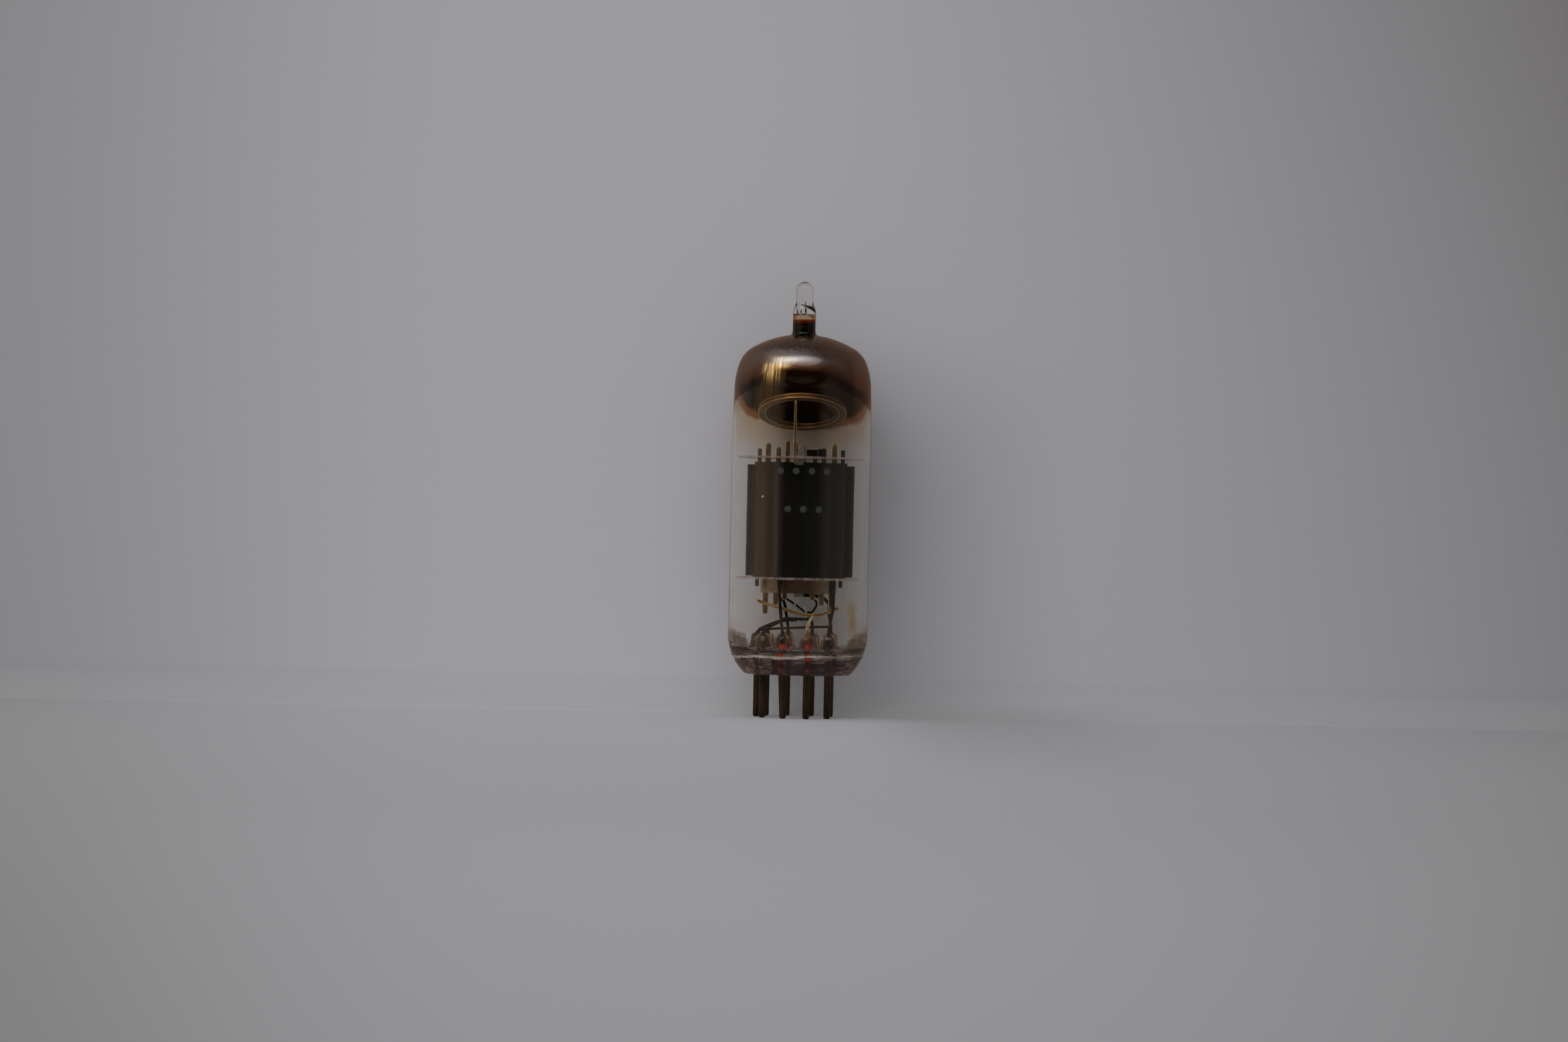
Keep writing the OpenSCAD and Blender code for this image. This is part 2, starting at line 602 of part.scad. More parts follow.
// Mica disc with toothed rim, punched for every rod, the sleeve and the anode's tabs
module mica_disc(z) {
    rim = bore_in - fit - tooth;
    color(mica_tone) translate([0, 0, z]) linear_extrude(mica_t) difference() {
        union() {
            circle(r = rim, $fn = 96);
            for (i = [0:teeth - 1]) rotate(i * 360 / teeth + 10)
                polygon([[rim - 0.4, -0.7], [rim + tooth, -0.12], [rim + tooth, 0.12], [rim - 0.4, 0.7]]);
        }
        for (s = [-1, 1]) {
            translate([s * g3_x, 0]) circle(r = g3_r + fit);
            translate([s * g2_x, 0]) circle(r = g2_r + fit);
            translate([s * g1_x, 0]) circle(r = g1_r + fit);
            for (t = [-1, 1]) translate([s * tab_x, t * (tab_in + tab_out) / 2])
                square([tab_w + 2 * fit, tab_out - tab_in + 2 * fit], center = true);
        }
        stadium(cathode_w + 2 * fit, cathode_d + 2 * fit);
        children();
    }
}
module lower_mica() {
    mica_disc(mica_lo_z) translate([lead_tab_x - 0.35 - fit, anode_face(lead_tab_x) - 0.15])
        square([0.7 + 2 * fit, 0.7]);
}
module upper_mica() {
    mica_disc(mica_hi_z) translate([support_x, foot_y]) circle(r = support_r + fit);
}

// Oval tray under the lower mica, tied to the suppressor rods
module shield_tray() {
    color([0.55, 0.50, 0.43]) translate([0, 0, tray_z]) difference() {
        linear_extrude(tray_h) polygon(oval(tray_cx, tray_end_r, tray_b));
        translate([0, 0, tray_t]) linear_extrude(tray_h) polygon(oval(tray_cx, tray_end_r, tray_b, tray_t));
        translate([0, 0, -1]) linear_extrude(3) {
            for (s = [-1, 1]) {
                translate([s * g3_x, 0]) circle(r = g3_r);
                translate([s * g2_x, 0]) circle(r = g2_r + 0.15);
                translate([s * g1_x, 0]) circle(r = g1_r + 0.15);
            }
            stadium(cathode_w + 0.5, cathode_d + 0.5);
        }
    }
}

// Channel ring that held the getter, with what is left of the filling
module tilted_at(z, a, roll = 0) {
    translate([0, 0, z]) rotate([-a, roll, 0]) children();
}
module getter_ring() {
    color(nickel) tilted_at(ring_z, ring_tilt) rotate_extrude()
        translate([ring_r - ring_w, -ring_h / 2]) difference() {
            square([ring_w, ring_h]);
            translate([ring_t, ring_t]) square([ring_w - 2 * ring_t, ring_h]);
        }
}
module getter_fill() {
    color(dark_nickel) tilted_at(ring_z, ring_tilt) rotate_extrude()
        translate([ring_r - ring_w + ring_t, ring_t - ring_h / 2])
            square([ring_w - 2 * ring_t, ring_h * 0.4]);
}
module getter_support() {
    foot_z = mica_hi_z - 0.75;
    strap_z = mica_hi_z + mica_t + touch;
    bend = 0.4;
    color(nickel) union() {
        wire(concat(
            [[support_x, support_y, support_top], [support_x, foot_y, strap_z + foot_strap[2] + 0.3],
             [support_x, foot_y, mica_hi_z - 0.1]],
            [for (a = [0:22.5:90])
                [support_x + bend * (1 - cos(a)), foot_y, foot_z + bend * (1 - sin(a))]],
            [[support_x + 1.3, foot_y, foot_z]]), support_r);
        translate([support_x - 0.3, foot_y + support_r - 0.08, strap_z]) cube(foot_strap);
    }
}

// Metal film on the inside of the crown and neck, its edge parallel to the ring
module getter_film() {
    outside = concat([[bore_in, straight_z]],
        arc(side_c, side_arc_r - wall, 0, side_angle, 5),
        arc(shoulder_c, shoulder_r - wall, side_angle, crown_angle),
        arc(crown_c, crown_r - wall, crown_angle, acos(bore_r / (crown_r - wall)), 6),
        [[bore_r, neck_z - 0.7]]);
    inside = concat([[bore_in - film_t, straight_z]],
        arc(side_c, side_arc_r - wall - film_t, 0, side_angle, 5),
        arc(shoulder_c, shoulder_r - wall - film_t, side_angle, crown_angle),
        arc(crown_c, crown_r - wall - film_t, crown_angle,
            acos((bore_r - film_t) / (crown_r - wall - film_t)), 6),
        [[bore_r - film_t, neck_z - 0.7]]);
    color(film_tone) intersection() {
        rotate_extrude() polygon(concat(outside, turned(inside)));
        tilted_at(ring_z + film_up, film_tilt, film_roll)
            translate([-2 * bulb_r, -2 * bulb_r, 0]) cube([4 * bulb_r, 4 * bulb_r, 40]);
    }
}

for (k = [1:pins]) {
    base_pin(k);
    seal_wire(k);
}
button_stem();
cathode_lead();
control_grid_lead();
screen_lead();
heater_lead_a();
heater_lead_b();
shield_stub();
anode_lead();
suppressor_lead();
shield_lead();
suppressor_link();
control_grid_link();
shield_link();
cathode_ribbon();
shield_strap();
lower_mica();
upper_mica();
front_anode();
rear_anode();
cathode_sleeve();
heater();
side_rod(-g1_x, g1_r, g1_low, rod_top + 1.2);  // control_grid_left_rod
side_rod(g1_x, g1_r, g1_low, rod_top);  // control_grid_right_rod
winding(g1_x, g1_r, 0.56, g1_turns);  // control_grid_winding
side_rod(-g2_x, g2_r, g2_low, rod_top + 0.2);  // screen_left_rod
side_rod(g2_x, g2_r, g2_low, rod_top + 0.2);  // screen_right_rod
winding(g2_x, g2_r, 1.15, g2_turns);  // screen_winding
side_rod(-g3_x, g3_r, g3_low, rod_top + 0.8);  // suppressor_left_rod
side_rod(g3_x, g3_r, g3_low + 0.2, rod_top + 0.8);  // suppressor_right_rod
winding(g3_x, g3_r, 2.1, g3_turns);  // suppressor_winding
rod_clip(cathode_w / 2 + fit + 0.05, g1_x + 0.35, g1_r, clip_h);  // control_grid_clip
rod_clip(g1_x + g1_r + 0.05, g2_x + 0.25, g2_r, clip_h + 0.1);  // screen_clip
shield_tray();
getter_ring();
getter_fill();
getter_support();
getter_film();
glass_bulb();
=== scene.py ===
import math

import bmesh
import bpy
from mathutils import Matrix, Vector, noise


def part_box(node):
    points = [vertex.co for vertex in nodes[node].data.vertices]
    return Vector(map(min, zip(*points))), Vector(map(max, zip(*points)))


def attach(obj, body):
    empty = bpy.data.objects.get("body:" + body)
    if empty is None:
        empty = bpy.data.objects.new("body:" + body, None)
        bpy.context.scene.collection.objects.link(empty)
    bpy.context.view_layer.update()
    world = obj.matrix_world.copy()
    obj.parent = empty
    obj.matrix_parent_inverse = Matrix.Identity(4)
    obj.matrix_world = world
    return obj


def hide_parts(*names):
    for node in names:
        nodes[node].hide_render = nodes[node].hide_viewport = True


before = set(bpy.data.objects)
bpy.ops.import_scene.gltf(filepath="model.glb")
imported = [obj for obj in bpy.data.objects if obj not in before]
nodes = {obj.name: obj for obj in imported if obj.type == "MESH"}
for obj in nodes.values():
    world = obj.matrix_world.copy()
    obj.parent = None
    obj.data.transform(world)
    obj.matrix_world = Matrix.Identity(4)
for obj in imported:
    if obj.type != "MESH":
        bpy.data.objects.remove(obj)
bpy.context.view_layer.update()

# Metres in the part's own frame: it stands on its pin ends at z = 0 and the photo looks along +Y.
# Values named for a size or a place are in millimetres until mm turns them into metres.
mm = 0.001
scene = bpy.context.scene

print("camera")
cameraView = {
    "lens": 105,  # on a sensor 36 mm wide
    "sensor": 36,
    "frameWidth": 233.6,  # width of the picture where the tube stands
    "imageSize": (2359, 1568),
    "axisColumn": 1203.6,  # pixel column where the tube's axis crosses the middle row
    "standRow": 1079,  # pixel row of the pin ends
    "lean": 1.23,  # degrees that the tube leans to the right
    "clip": (0.01, 20),  # metres
}


def makeCamera(view):
    wide, high = view["imageSize"]
    perPixel = view["frameWidth"] / wide
    lens = bpy.data.cameras.new("camera")
    lens.lens = view["lens"]
    lens.sensor_width = view["sensor"]
    away = -view["frameWidth"] * view["lens"] / view["sensor"]
    across = (wide / 2 - view["axisColumn"]) * perPixel
    spot = Vector((across, away, (view["standRow"] - high / 2) * perPixel))
    lean = math.radians(view["lean"])
    turn = Matrix((
        (math.cos(lean), -math.sin(lean), 0),
        (0, 0, -1),
        (math.sin(lean), math.cos(lean), 0),
    ))
    camera = bpy.data.objects.new("camera", lens)
    camera.matrix_world = Matrix.Translation(spot * mm) @ turn.to_4x4()
    lens.clip_start, lens.clip_end = view["clip"]
    scene.collection.objects.link(camera)
    scene.camera = camera


makeCamera(cameraView)


class Signal:  # one output of a node, used in plain arithmetic
    def __init__(self, tree, socket):
        self.tree = tree
        self.socket = socket

    def __add__(self, other):
        return self.tree.math("ADD", self, other)

    def __radd__(self, other):
        return self.tree.math("ADD", other, self)

    def __sub__(self, other):
        return self.tree.math("SUBTRACT", self, other)

    def __rsub__(self, other):
        return self.tree.math("SUBTRACT", other, self)

    def __mul__(self, other):
        return self.tree.math("MULTIPLY", self, other)

    def __rmul__(self, other):
        return self.tree.math("MULTIPLY", other, self)

    def __truediv__(self, other):
        return self.tree.math("DIVIDE", self, other)

    def __rtruediv__(self, other):
        return self.tree.math("DIVIDE", other, self)

    def __pow__(self, other):
        return self.tree.math("POWER", self, other)

    def __rpow__(self, other):
        return self.tree.math("POWER", other, self)


class Tree:  # a node tree and the nodes that are added to it
    def __init__(self, nodeTree):
        self.nodeTree = nodeTree
        nodeTree.nodes.clear()

    def add(self, kind, settings=None, sockets=None, output=0):
        node = self.nodeTree.nodes.new("ShaderNode" + kind)
        for name, value in (settings or {}).items():
            setattr(node, name, value)
        for name, value in (sockets or {}).items():
            if isinstance(value, Signal):
                self.nodeTree.links.new(value.socket, node.inputs[name])
            else:
                node.inputs[name].default_value = value
        return Signal(self, node.outputs[output])

    def math(self, operation, a, b=0.0, clamp=False):
        return self.add("Math", {"operation": operation, "use_clamp": clamp}, {0: a, 1: b})

    def rise(self, value, low, high):  # 0 at low, 1 at high, smooth between
        span = {"Value": value, "From Min": low, "From Max": high}
        return self.add("MapRange", {"interpolation_type": "SMOOTHSTEP"}, span)

    def band(self, value, low, full, fade, high):  # 0 outside low and high, 1 between full and fade
        return self.rise(value, low, full) * self.rise(value, high, fade)

    def blend(self, share, a, b, kind="MIX"):  # colours a to b
        return self.add("Mix", {"data_type": "RGBA", "blend_type": kind}, {0: share, 6: a, 7: b}, 2)

    def place(self, stretch=(1, 1, 1)):  # object coordinates in millimetres, stretched
        spot = self.add("TexCoord", output="Object")
        factor = tuple(s / mm for s in stretch)
        return self.add("VectorMath", {"operation": "MULTIPLY"}, {0: spot, 1: factor})

    def distance(self, spot):  # millimetres from a spot
        return self.add("VectorMath", {"operation": "DISTANCE"}, {0: self.place(), 1: spot}, 1)

    def axes(self):
        split = self.add("SeparateXYZ", sockets={"Vector": self.place()})
        outputs = split.socket.node.outputs
        return [Signal(self, outputs[i]) for i in range(3)]

    def noise(self, scale, stretch=(1, 1, 1), detail=3.0, rough=0.55):
        settings = {"Vector": self.place(stretch), "Scale": scale, "Detail": detail, "Roughness": rough}
        return self.add("TexNoise", sockets=settings)

    def grazing(self):  # 0 where a surface faces the eye, 1 at its outline
        return self.add("LayerWeight", sockets={"Blend": 0.5}, output="Facing")

    def bump(self, height, distance, strength=1.0):
        sockets = {"Height": height, "Distance": distance * mm, "Strength": strength}
        return self.add("Bump", sockets=sockets)

    def output(self, shader, kind="OutputMaterial"):
        node = self.nodeTree.nodes.new("ShaderNode" + kind)
        self.nodeTree.links.new(shader.socket, node.inputs["Surface"])


def newFinish(name):
    material = bpy.data.materials.new(name)
    material.use_nodes = True
    return material, Tree(material.node_tree)


def rgb(red, green, blue):  # an 8-bit screen colour as light
    parts = [v / 255 for v in (red, green, blue)]
    return tuple(v / 12.92 if v < 0.04045 else ((v + 0.055) / 1.055) ** 2.4 for v in parts) + (1.0,)


def dress(material, *names):  # gives pieces of the CAD their material
    for name in names:
        for slot in nodes[name].material_slots:
            slot.material = material


print("finishes")


def metal(name, look, tone=None):  # tone is a function that changes the colour
    material, t = newFinish(name)
    cloud = t.noise(look["patch"], look["stretch"], 5, 0.65)
    fine = t.noise(look["patch"] * 7, look["stretch"], 2)
    colour = t.blend(t.rise(cloud, 0.38, 0.62), look["base"], look["second"])
    colour = t.blend(t.rise(fine, 0.56, 0.72) * look["speckle"], colour, look["third"])
    if tone:
        colour = tone(t, colour, look)
    metallic = look["metallic"]
    if "paintedSheen" in look:  # painted sheen: pale and less mirror-like at its outline
        grazing = t.rise(t.grazing(), 0.25, 0.6)
        colour = t.blend(grazing, colour, look["paintedSheen"])
        metallic = metallic - grazing * 0.7
    shader = t.add("BsdfPrincipled", sockets={
        "Base Color": colour,
        "Metallic": metallic,
        "Specular IOR Level": look.get("specular", 0.5),
        "Roughness": cloud * look["roughSpread"] + (look["rough"] - look["roughSpread"] / 2),
        "Normal": t.bump(fine, look["relief"]),
    })
    t.output(shader)
    return material


pinMetal = {
    "base": rgb(80, 68, 56), "second": rgb(48, 46, 36), "third": rgb(128, 70, 50),
    "speckle": 0.8, "patch": 0.8, "stretch": (1, 1, 0.35), "metallic": 0.85,
    "rough": 0.42, "roughSpread": 0.25, "relief": 0.02,
}
leadMetal = {
    "base": rgb(66, 50, 36), "second": rgb(34, 32, 25), "third": rgb(120, 78, 48),
    "speckle": 0.4, "patch": 0.7, "stretch": (1, 1, 0.6), "metallic": 0.9,
    "rough": 0.4, "roughSpread": 0.2, "relief": 0.01,
}
blackMetal = dict(leadMetal, base=rgb(36, 30, 24), second=rgb(18, 19, 17), third=rgb(92, 52, 34))
goldMetal = {
    "base": rgb(226, 184, 112), "second": rgb(188, 142, 80), "third": rgb(110, 76, 42),
    "speckle": 0.5, "patch": 0.6, "stretch": (1, 1, 1), "metallic": 1.0,
    "rough": 0.28, "roughSpread": 0.15, "relief": 0.006,
    # the colour of the painted sheen at its outline
    "paintedSheen": rgb(255, 232, 180),
}
rodMetal = {
    "base": rgb(144, 124, 92), "second": rgb(100, 86, 64), "third": rgb(180, 146, 94),
    "speckle": 0.35, "patch": 0.9, "stretch": (1, 1, 0.3), "metallic": 0.8,
    "rough": 0.34, "roughSpread": 0.15, "relief": 0.006,
    # the colour of the painted sheen at its outline
    "paintedSheen": rgb(255, 230, 176),
}
trayMetal = {
    "base": rgb(184, 168, 148), "second": rgb(158, 142, 120), "third": rgb(128, 108, 88),
    "speckle": 0.4, "patch": 0.5, "stretch": (1, 1, 1), "metallic": 0.95,
    "rough": 0.4, "roughSpread": 0.15, "relief": 0.008,
    # the painted shade across its middle
    "middle": rgb(112, 96, 82),
    "shadeAcross": (-3.4, -2.2, 1.6, 3.2),
}
sleeveMetal = {
    "base": rgb(176, 172, 164), "second": rgb(150, 146, 138), "third": rgb(120, 112, 100),
    "speckle": 0.4, "patch": 0.8, "stretch": (1, 1, 1), "metallic": 0.6,
    "rough": 0.5, "roughSpread": 0.2, "relief": 0.01,
}
ringMetal = {
    "base": rgb(150, 122, 84), "second": rgb(112, 88, 58), "third": rgb(84, 66, 46),
    "speckle": 0.4, "patch": 0.35, "stretch": (1, 1, 1), "metallic": 0.7,
    "rough": 0.34, "roughSpread": 0.15, "relief": 0.006,
    "tilt": 20.8, "high": 0.7,  # of the ring as it stands in the bulb
    "outerEdge": (0.12, 0.04),  # how far in from its widest the outer wall starts, from nothing to full
    "rimHigh": (0.16, 0.05),
    "lipIn": (1.0, 1.08),
    # the colour of the painted highlights along its edges, and its grey underside
    "rim": rgb(236, 222, 196), "under": rgb(112, 104, 92),
}
fillMetal = {
    "base": rgb(58, 54, 50), "second": rgb(84, 78, 72), "third": rgb(30, 28, 26),
    "speckle": 1.0, "patch": 1.6, "stretch": (1, 1, 1), "metallic": 0.4,
    "rough": 0.8, "roughSpread": 0.2, "relief": 0.06,
}
copper = {
    "base": rgb(168, 50, 32), "second": rgb(110, 36, 28), "third": rgb(176, 84, 58),
    "speckle": 0.5, "patch": 0.8, "stretch": (1, 1, 0.4), "metallic": 0.35,
    "rough": 0.4, "roughSpread": 0.2, "relief": 0.01,
}
# a darker, painted-shade copy of the same copper, for the seal wires that look dark
shadedCopper = dict(copper, base=rgb(92, 48, 36), second=rgb(64, 44, 36), third=rgb(120, 60, 44))
carbon = {
    "base": rgb(12, 11, 10), "second": rgb(8, 8, 8), "third": rgb(20, 18, 16),
    "speckle": 0.3, "patch": 0.4, "stretch": (1, 1, 0.25), "metallic": 0.0,
    "rough": 0.5, "roughSpread": 0.1, "relief": 0.012,
    # painted sheen: a lighter left flank and warm, light and olive upright bands
    "specular": 0.22, "litFlank": rgb(40, 38, 34), "warmSheen": rgb(58, 46, 32), "line": rgb(48, 46, 38),
    "oliveSheen": rgb(26, 27, 17), "chip": rgb(210, 205, 196),
    "flankFrom": (-4.6, -5.2),
    "warmAcross": (-7.3, -6.4, -5.7, -5.0),
    "lineAcross": (-4.1, -3.8, -3.4, -3.0),
    "oliveFrom": (-0.6, 2.6),
    "chipSpot": (-5.62, -2.5, 32.8), "chipSize": 0.17,
}
coating = {
    "base": rgb(226, 224, 216), "second": rgb(206, 202, 192), "third": rgb(180, 172, 158),
    "speckle": 0.3, "patch": 1.2, "stretch": (1, 1, 1), "metallic": 0.0,
    "rough": 0.8, "roughSpread": 0.1, "relief": 0.02,
}


def ringHighlights(t, colour, look):  # painted highlights along the two edges of its outer wall and at its inner lip, grey beneath
    x, y, z = t.axes()
    low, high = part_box("getter_ring")
    radius = high.x / mm
    turn = math.radians(look["tilt"])
    over = z - (low.z + high.z) / 2 / mm
    across = y * math.cos(turn) - over * math.sin(turn)
    up = y * math.sin(turn) + over * math.cos(turn)
    far = t.math("SQRT", x * x + across * across)
    outer = t.rise(far, *[radius - part for part in look["outerEdge"]])
    half = look["high"] / 2
    edge = t.rise(t.math("ABSOLUTE", up), *[half - part for part in look["rimHigh"]])
    lip = t.rise(far, *[radius - part for part in look["lipIn"]])
    under = t.rise(up, 0.02 - half, -0.02 - half)
    colour = t.blend(under * (1 - outer * 0.7), colour, look["under"])
    return t.blend(outer * edge + lip * edge * 0.7, colour, look["rim"])


def trayShade(t, colour, look):  # painted shade between its two ends, where its middle lies in shadow
    x = t.axes()[0]
    return t.blend(t.band(x, *look["shadeAcross"]) * 0.8, colour, look["middle"])


def carbonSheen(t, colour, look):  # painted sheen in upright bands, warm, light and olive, over a lighter left flank, and one chip
    x = t.axes()[0]
    grain = t.noise(0.9, (1, 1, 0.02), 4)
    place = x + (grain - 0.5) * 0.5
    colour = t.blend(t.rise(place, *look["flankFrom"]), colour, look["litFlank"])
    colour = t.blend(t.band(place, *look["warmAcross"]), colour, look["warmSheen"])
    colour = t.blend(t.band(place, *look["lineAcross"]), colour, look["line"])
    colour = t.blend(t.rise(place, *look["oliveFrom"]) * t.rise(grain, 0.3, 0.6), colour, look["oliveSheen"])
    chip = t.rise(t.distance(look["chipSpot"]), look["chipSize"] * 1.3, look["chipSize"] * 0.8)
    return t.blend(chip, colour, look["chip"])


dress(metal("oxidisedPin", pinMetal), *["pin_%d" % k for k in range(1, 10)])
dress(metal("redCopper", copper), "seal_wire_7", "seal_wire_8")
dress(metal("shadedCopper", shadedCopper), *["seal_wire_%d" % k for k in (1, 2, 3, 4, 5, 6, 9)])
dress(metal("darkWire", leadMetal), "shield_stub", "anode_lead", "shield_lead",
      "shield_strap", "control_grid_link", "control_grid_clip", "screen_clip")
dress(metal("blackWire", blackMetal), "cathode_lead", "control_grid_lead", "screen_lead",
      "heater_lead_a", "heater_lead_b", "shield_link", "cathode_ribbon")
dress(metal("goldWire", goldMetal), "suppressor_lead", "suppressor_link")
dress(metal("satinWire", rodMetal), "getter_support", *[
    "%s_%s" % (grid, piece) for grid in ("control_grid", "screen", "suppressor")
    for piece in ("left_rod", "right_rod", "winding")])
dress(metal("paleSheet", trayMetal, trayShade), "shield_tray")
dress(metal("sleeveSheet", sleeveMetal), "cathode_sleeve")
dress(metal("strawSheet", ringMetal, ringHighlights), "getter_ring")
dress(metal("porousFill", fillMetal), "getter_fill")
dress(metal("blackCarbon", carbon, carbonSheen), "front_anode", "rear_anode")
dress(metal("whiteCoat", coating), "heater")

mica = {
    "clear": rgb(160, 138, 124),
    "cloudy": rgb(206, 186, 172),
    "alpha": 0.38,
    "rough": 0.3,
}


def micaFinish(look):
    material, t = newFinish("splitMica")
    cloud = t.noise(0.35, (1, 1, 1), 5, 0.6)
    flakes = t.noise(2.5, (1, 1, 0.2), 2)
    shader = t.add("BsdfPrincipled", sockets={
        "Base Color": t.blend(t.rise(cloud, 0.4, 0.65), look["clear"], look["cloudy"]),
        "Alpha": cloud * 0.35 + (look["alpha"] - 0.175),
        "Roughness": look["rough"],
        "Normal": t.bump(flakes, 0.01),
    })
    t.output(shader)
    return material


dress(micaFinish(mica), "lower_mica", "upper_mica")


print("glass")
bulb = {
    "underside": 6.45,  # heights over the pin ends
    "buttonThick": 3.35,
    "seamUp": 2.75,
    "wall": 0.5,  # where the glass is seen edge on it looks no thicker
    "shoulderDraw": 0.2,
    "sideArc": 11.4,
    "sideAngle": 20,
    "sideDown": 8.8,  # the last ring of the straight side is this far under the curve
    "shoulderRadius": 4.43,
    "crownRadius": 15.1,
    "crownTop": 57.06,
    "footArc": 8.45,
    "footArcUp": 6.05,
    "footRound": 0.5,
    "hollow": 1.2,
    "neck": 1.7,
    "neckTop": 60.26,
    "bore": 1.2,
    "tip": 1.25,
    "fillet": 0.6,
    "pinCircle": 11.89,
    "pinRadius": 0.508,
    "gapAngle": 94,
    "pinStep": 36,
    "mound": 1.4,
    "moundUp": 2.7,
    "moundWave": 0.12,
    "lead": 0.25,
    "collar": 0.16,  # how far the glass is drawn down round each pin
    "collarFade": 0.2,
    "seamWander": 0.14,
    "ridge": (0.06, 0.24),  # how far the fused seam stands out, and half its height
    "groove": (0.05, 0.22),
    "grooveDown": 0.55,
    "wave": 0.05,
    "slack": 0.02,  # keeps the waves inside the box of the CAD
    "boreSkew": 0.2,
    "steps": 240,
}


def arc(centre, radius, start, end, count):
    points = []
    for i in range(count + 1):
        angle = math.radians(start + (end - start) * i / count)
        points.append((centre[0] + radius * math.cos(angle), centre[1] + radius * math.sin(angle)))
    return points


def degreesOf(y, x):
    return math.degrees(math.atan2(y, x))


def outlineOf(b):  # the arcs that the bulb's outside and inside share
    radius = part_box("glass_bulb")[1].x / mm
    b["radius"] = radius
    b["top"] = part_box("glass_bulb")[1].z / mm - 0.01
    b["inside"] = radius - b["wall"]
    b["floor"] = b["underside"] + b["buttonThick"]
    b["seam"] = b["underside"] + b["seamUp"]
    b["footCentre"] = (radius - b["footArc"], b["underside"] + b["footArcUp"])
    reach = math.sqrt((b["footArc"] - b["footRound"]) ** 2 - (b["footArcUp"] - b["footRound"]) ** 2)
    b["edgeCentre"] = (b["footCentre"][0] + reach, b["underside"] + b["footRound"])
    b["edgeAngle"] = degreesOf(b["edgeCentre"][1] - b["footCentre"][1], reach)
    b["crownCentre"] = (0, b["crownTop"] - b["crownRadius"])
    turn = math.radians(b["sideAngle"])
    past = b["sideArc"] - b["shoulderRadius"]
    across = radius - b["shoulderDraw"] - b["sideArc"] + past * math.cos(turn)
    rest = b["crownRadius"] - b["shoulderRadius"]
    crownTurn = math.acos(across / rest)
    b["crownAngle"] = math.degrees(crownTurn)
    b["shoulderCentre"] = (across, b["crownCentre"][1] + rest * math.sin(crownTurn))
    b["sideCentre"] = (across - past * math.cos(turn), b["shoulderCentre"][1] - past * math.sin(turn))
    b["straightTop"] = b["sideCentre"][1] - b["sideDown"]
    b["hollowCentre"] = (b["inside"] - b["hollow"], b["floor"] + b["hollow"])


def crownLine(b, inset, boreRadius):  # side, shoulder and crown at a distance inside the outer face
    radius = b["crownRadius"] - inset
    stop = math.degrees(math.acos(boreRadius / radius))
    line = arc(b["sideCentre"], b["sideArc"] - inset, 0, b["sideAngle"], 8)
    line += arc(b["shoulderCentre"], b["shoulderRadius"] - inset, b["sideAngle"], b["crownAngle"], 14)[1:]
    return line + arc(b["crownCentre"], radius, b["crownAngle"], stop, 12)[1:]


def sideLine(b, radius, low):  # straight up to where the side starts to curve
    return [(radius, low + (b["straightTop"] - low) * i / 6) for i in range(1, 7)]


def outerLine(b):
    line = [(0, b["underside"]), (2.5, b["underside"]), (4.4, b["underside"])]
    line += [(5.0 + 0.12 * i, b["underside"]) for i in range(17)]  # close rings for the pins' collars
    line += arc(b["edgeCentre"], b["footRound"], -90, b["edgeAngle"], 6)
    line += arc(b["footCentre"], b["footArc"], b["edgeAngle"], 0, 62)[1:]
    line += sideLine(b, b["radius"], b["footCentre"][1])
    corner = b["crownRadius"] + b["fillet"]
    turn = math.acos((b["neck"] + b["fillet"]) / corner)
    filletCentre = (corner * math.cos(turn), b["crownCentre"][1] + corner * math.sin(turn))
    line += crownLine(b, 0, b["neck"] + b["fillet"] * 0.8)
    line = [p for p in line if p[0] > filletCentre[0] or p[1] < b["crownTop"] - 3]
    line += arc(filletCentre, b["fillet"], math.degrees(turn) + 180, 180, 7)
    fall = b["neck"] - b["tip"]
    for i in range(13):
        share = (1 + math.cos(math.radians(15 * i))) / 2
        line.append((b["tip"] + fall * share, b["neckTop"] + i * 0.15))
    return line + arc((0, b["top"] - b["tip"]), b["tip"], 0, 90, 14)


def innerLine(b):
    line = [(0, b["floor"]), (4.0, b["floor"])]
    line += arc(b["hollowCentre"], b["hollow"], -90, 0, 16)
    line += sideLine(b, b["inside"], b["hollowCentre"][1])
    line += crownLine(b, b["wall"], b["bore"])
    line += [(b["bore"], b["neckTop"] - 1.2), (b["bore"] * 0.99, b["neckTop"] - 0.6)]
    end = arc((0, 0), b["bore"] * 0.98, 12, 90, 8)
    return line + [(r, b["neckTop"] - 0.6 + up * 0.45) for r, up in end]


def spun(line, steps):  # a skin turned from a line, closed where the line starts and ends on the axis
    mesh = bmesh.new()
    chain = [mesh.verts.new((r, 0, z)) for r, z in line]
    edges = [mesh.edges.new(pair) for pair in zip(chain, chain[1:])]
    bmesh.ops.spin(mesh, geom=chain + edges, cent=(0, 0, 0), axis=(0, 0, 1), angle=math.tau, steps=steps,
                   use_merge=True)
    bmesh.ops.remove_doubles(mesh, verts=mesh.verts, dist=1e-4)
    bmesh.ops.recalc_face_normals(mesh, faces=mesh.faces)
    return mesh


def pinSpots(b):
    spots = []
    for k in range(1, 10):
        angle = math.radians(b["gapAngle"] - b["pinStep"] * k)
        spots.append(Vector((math.sin(angle), math.cos(angle))) * b["pinCircle"] / 2)
    return spots


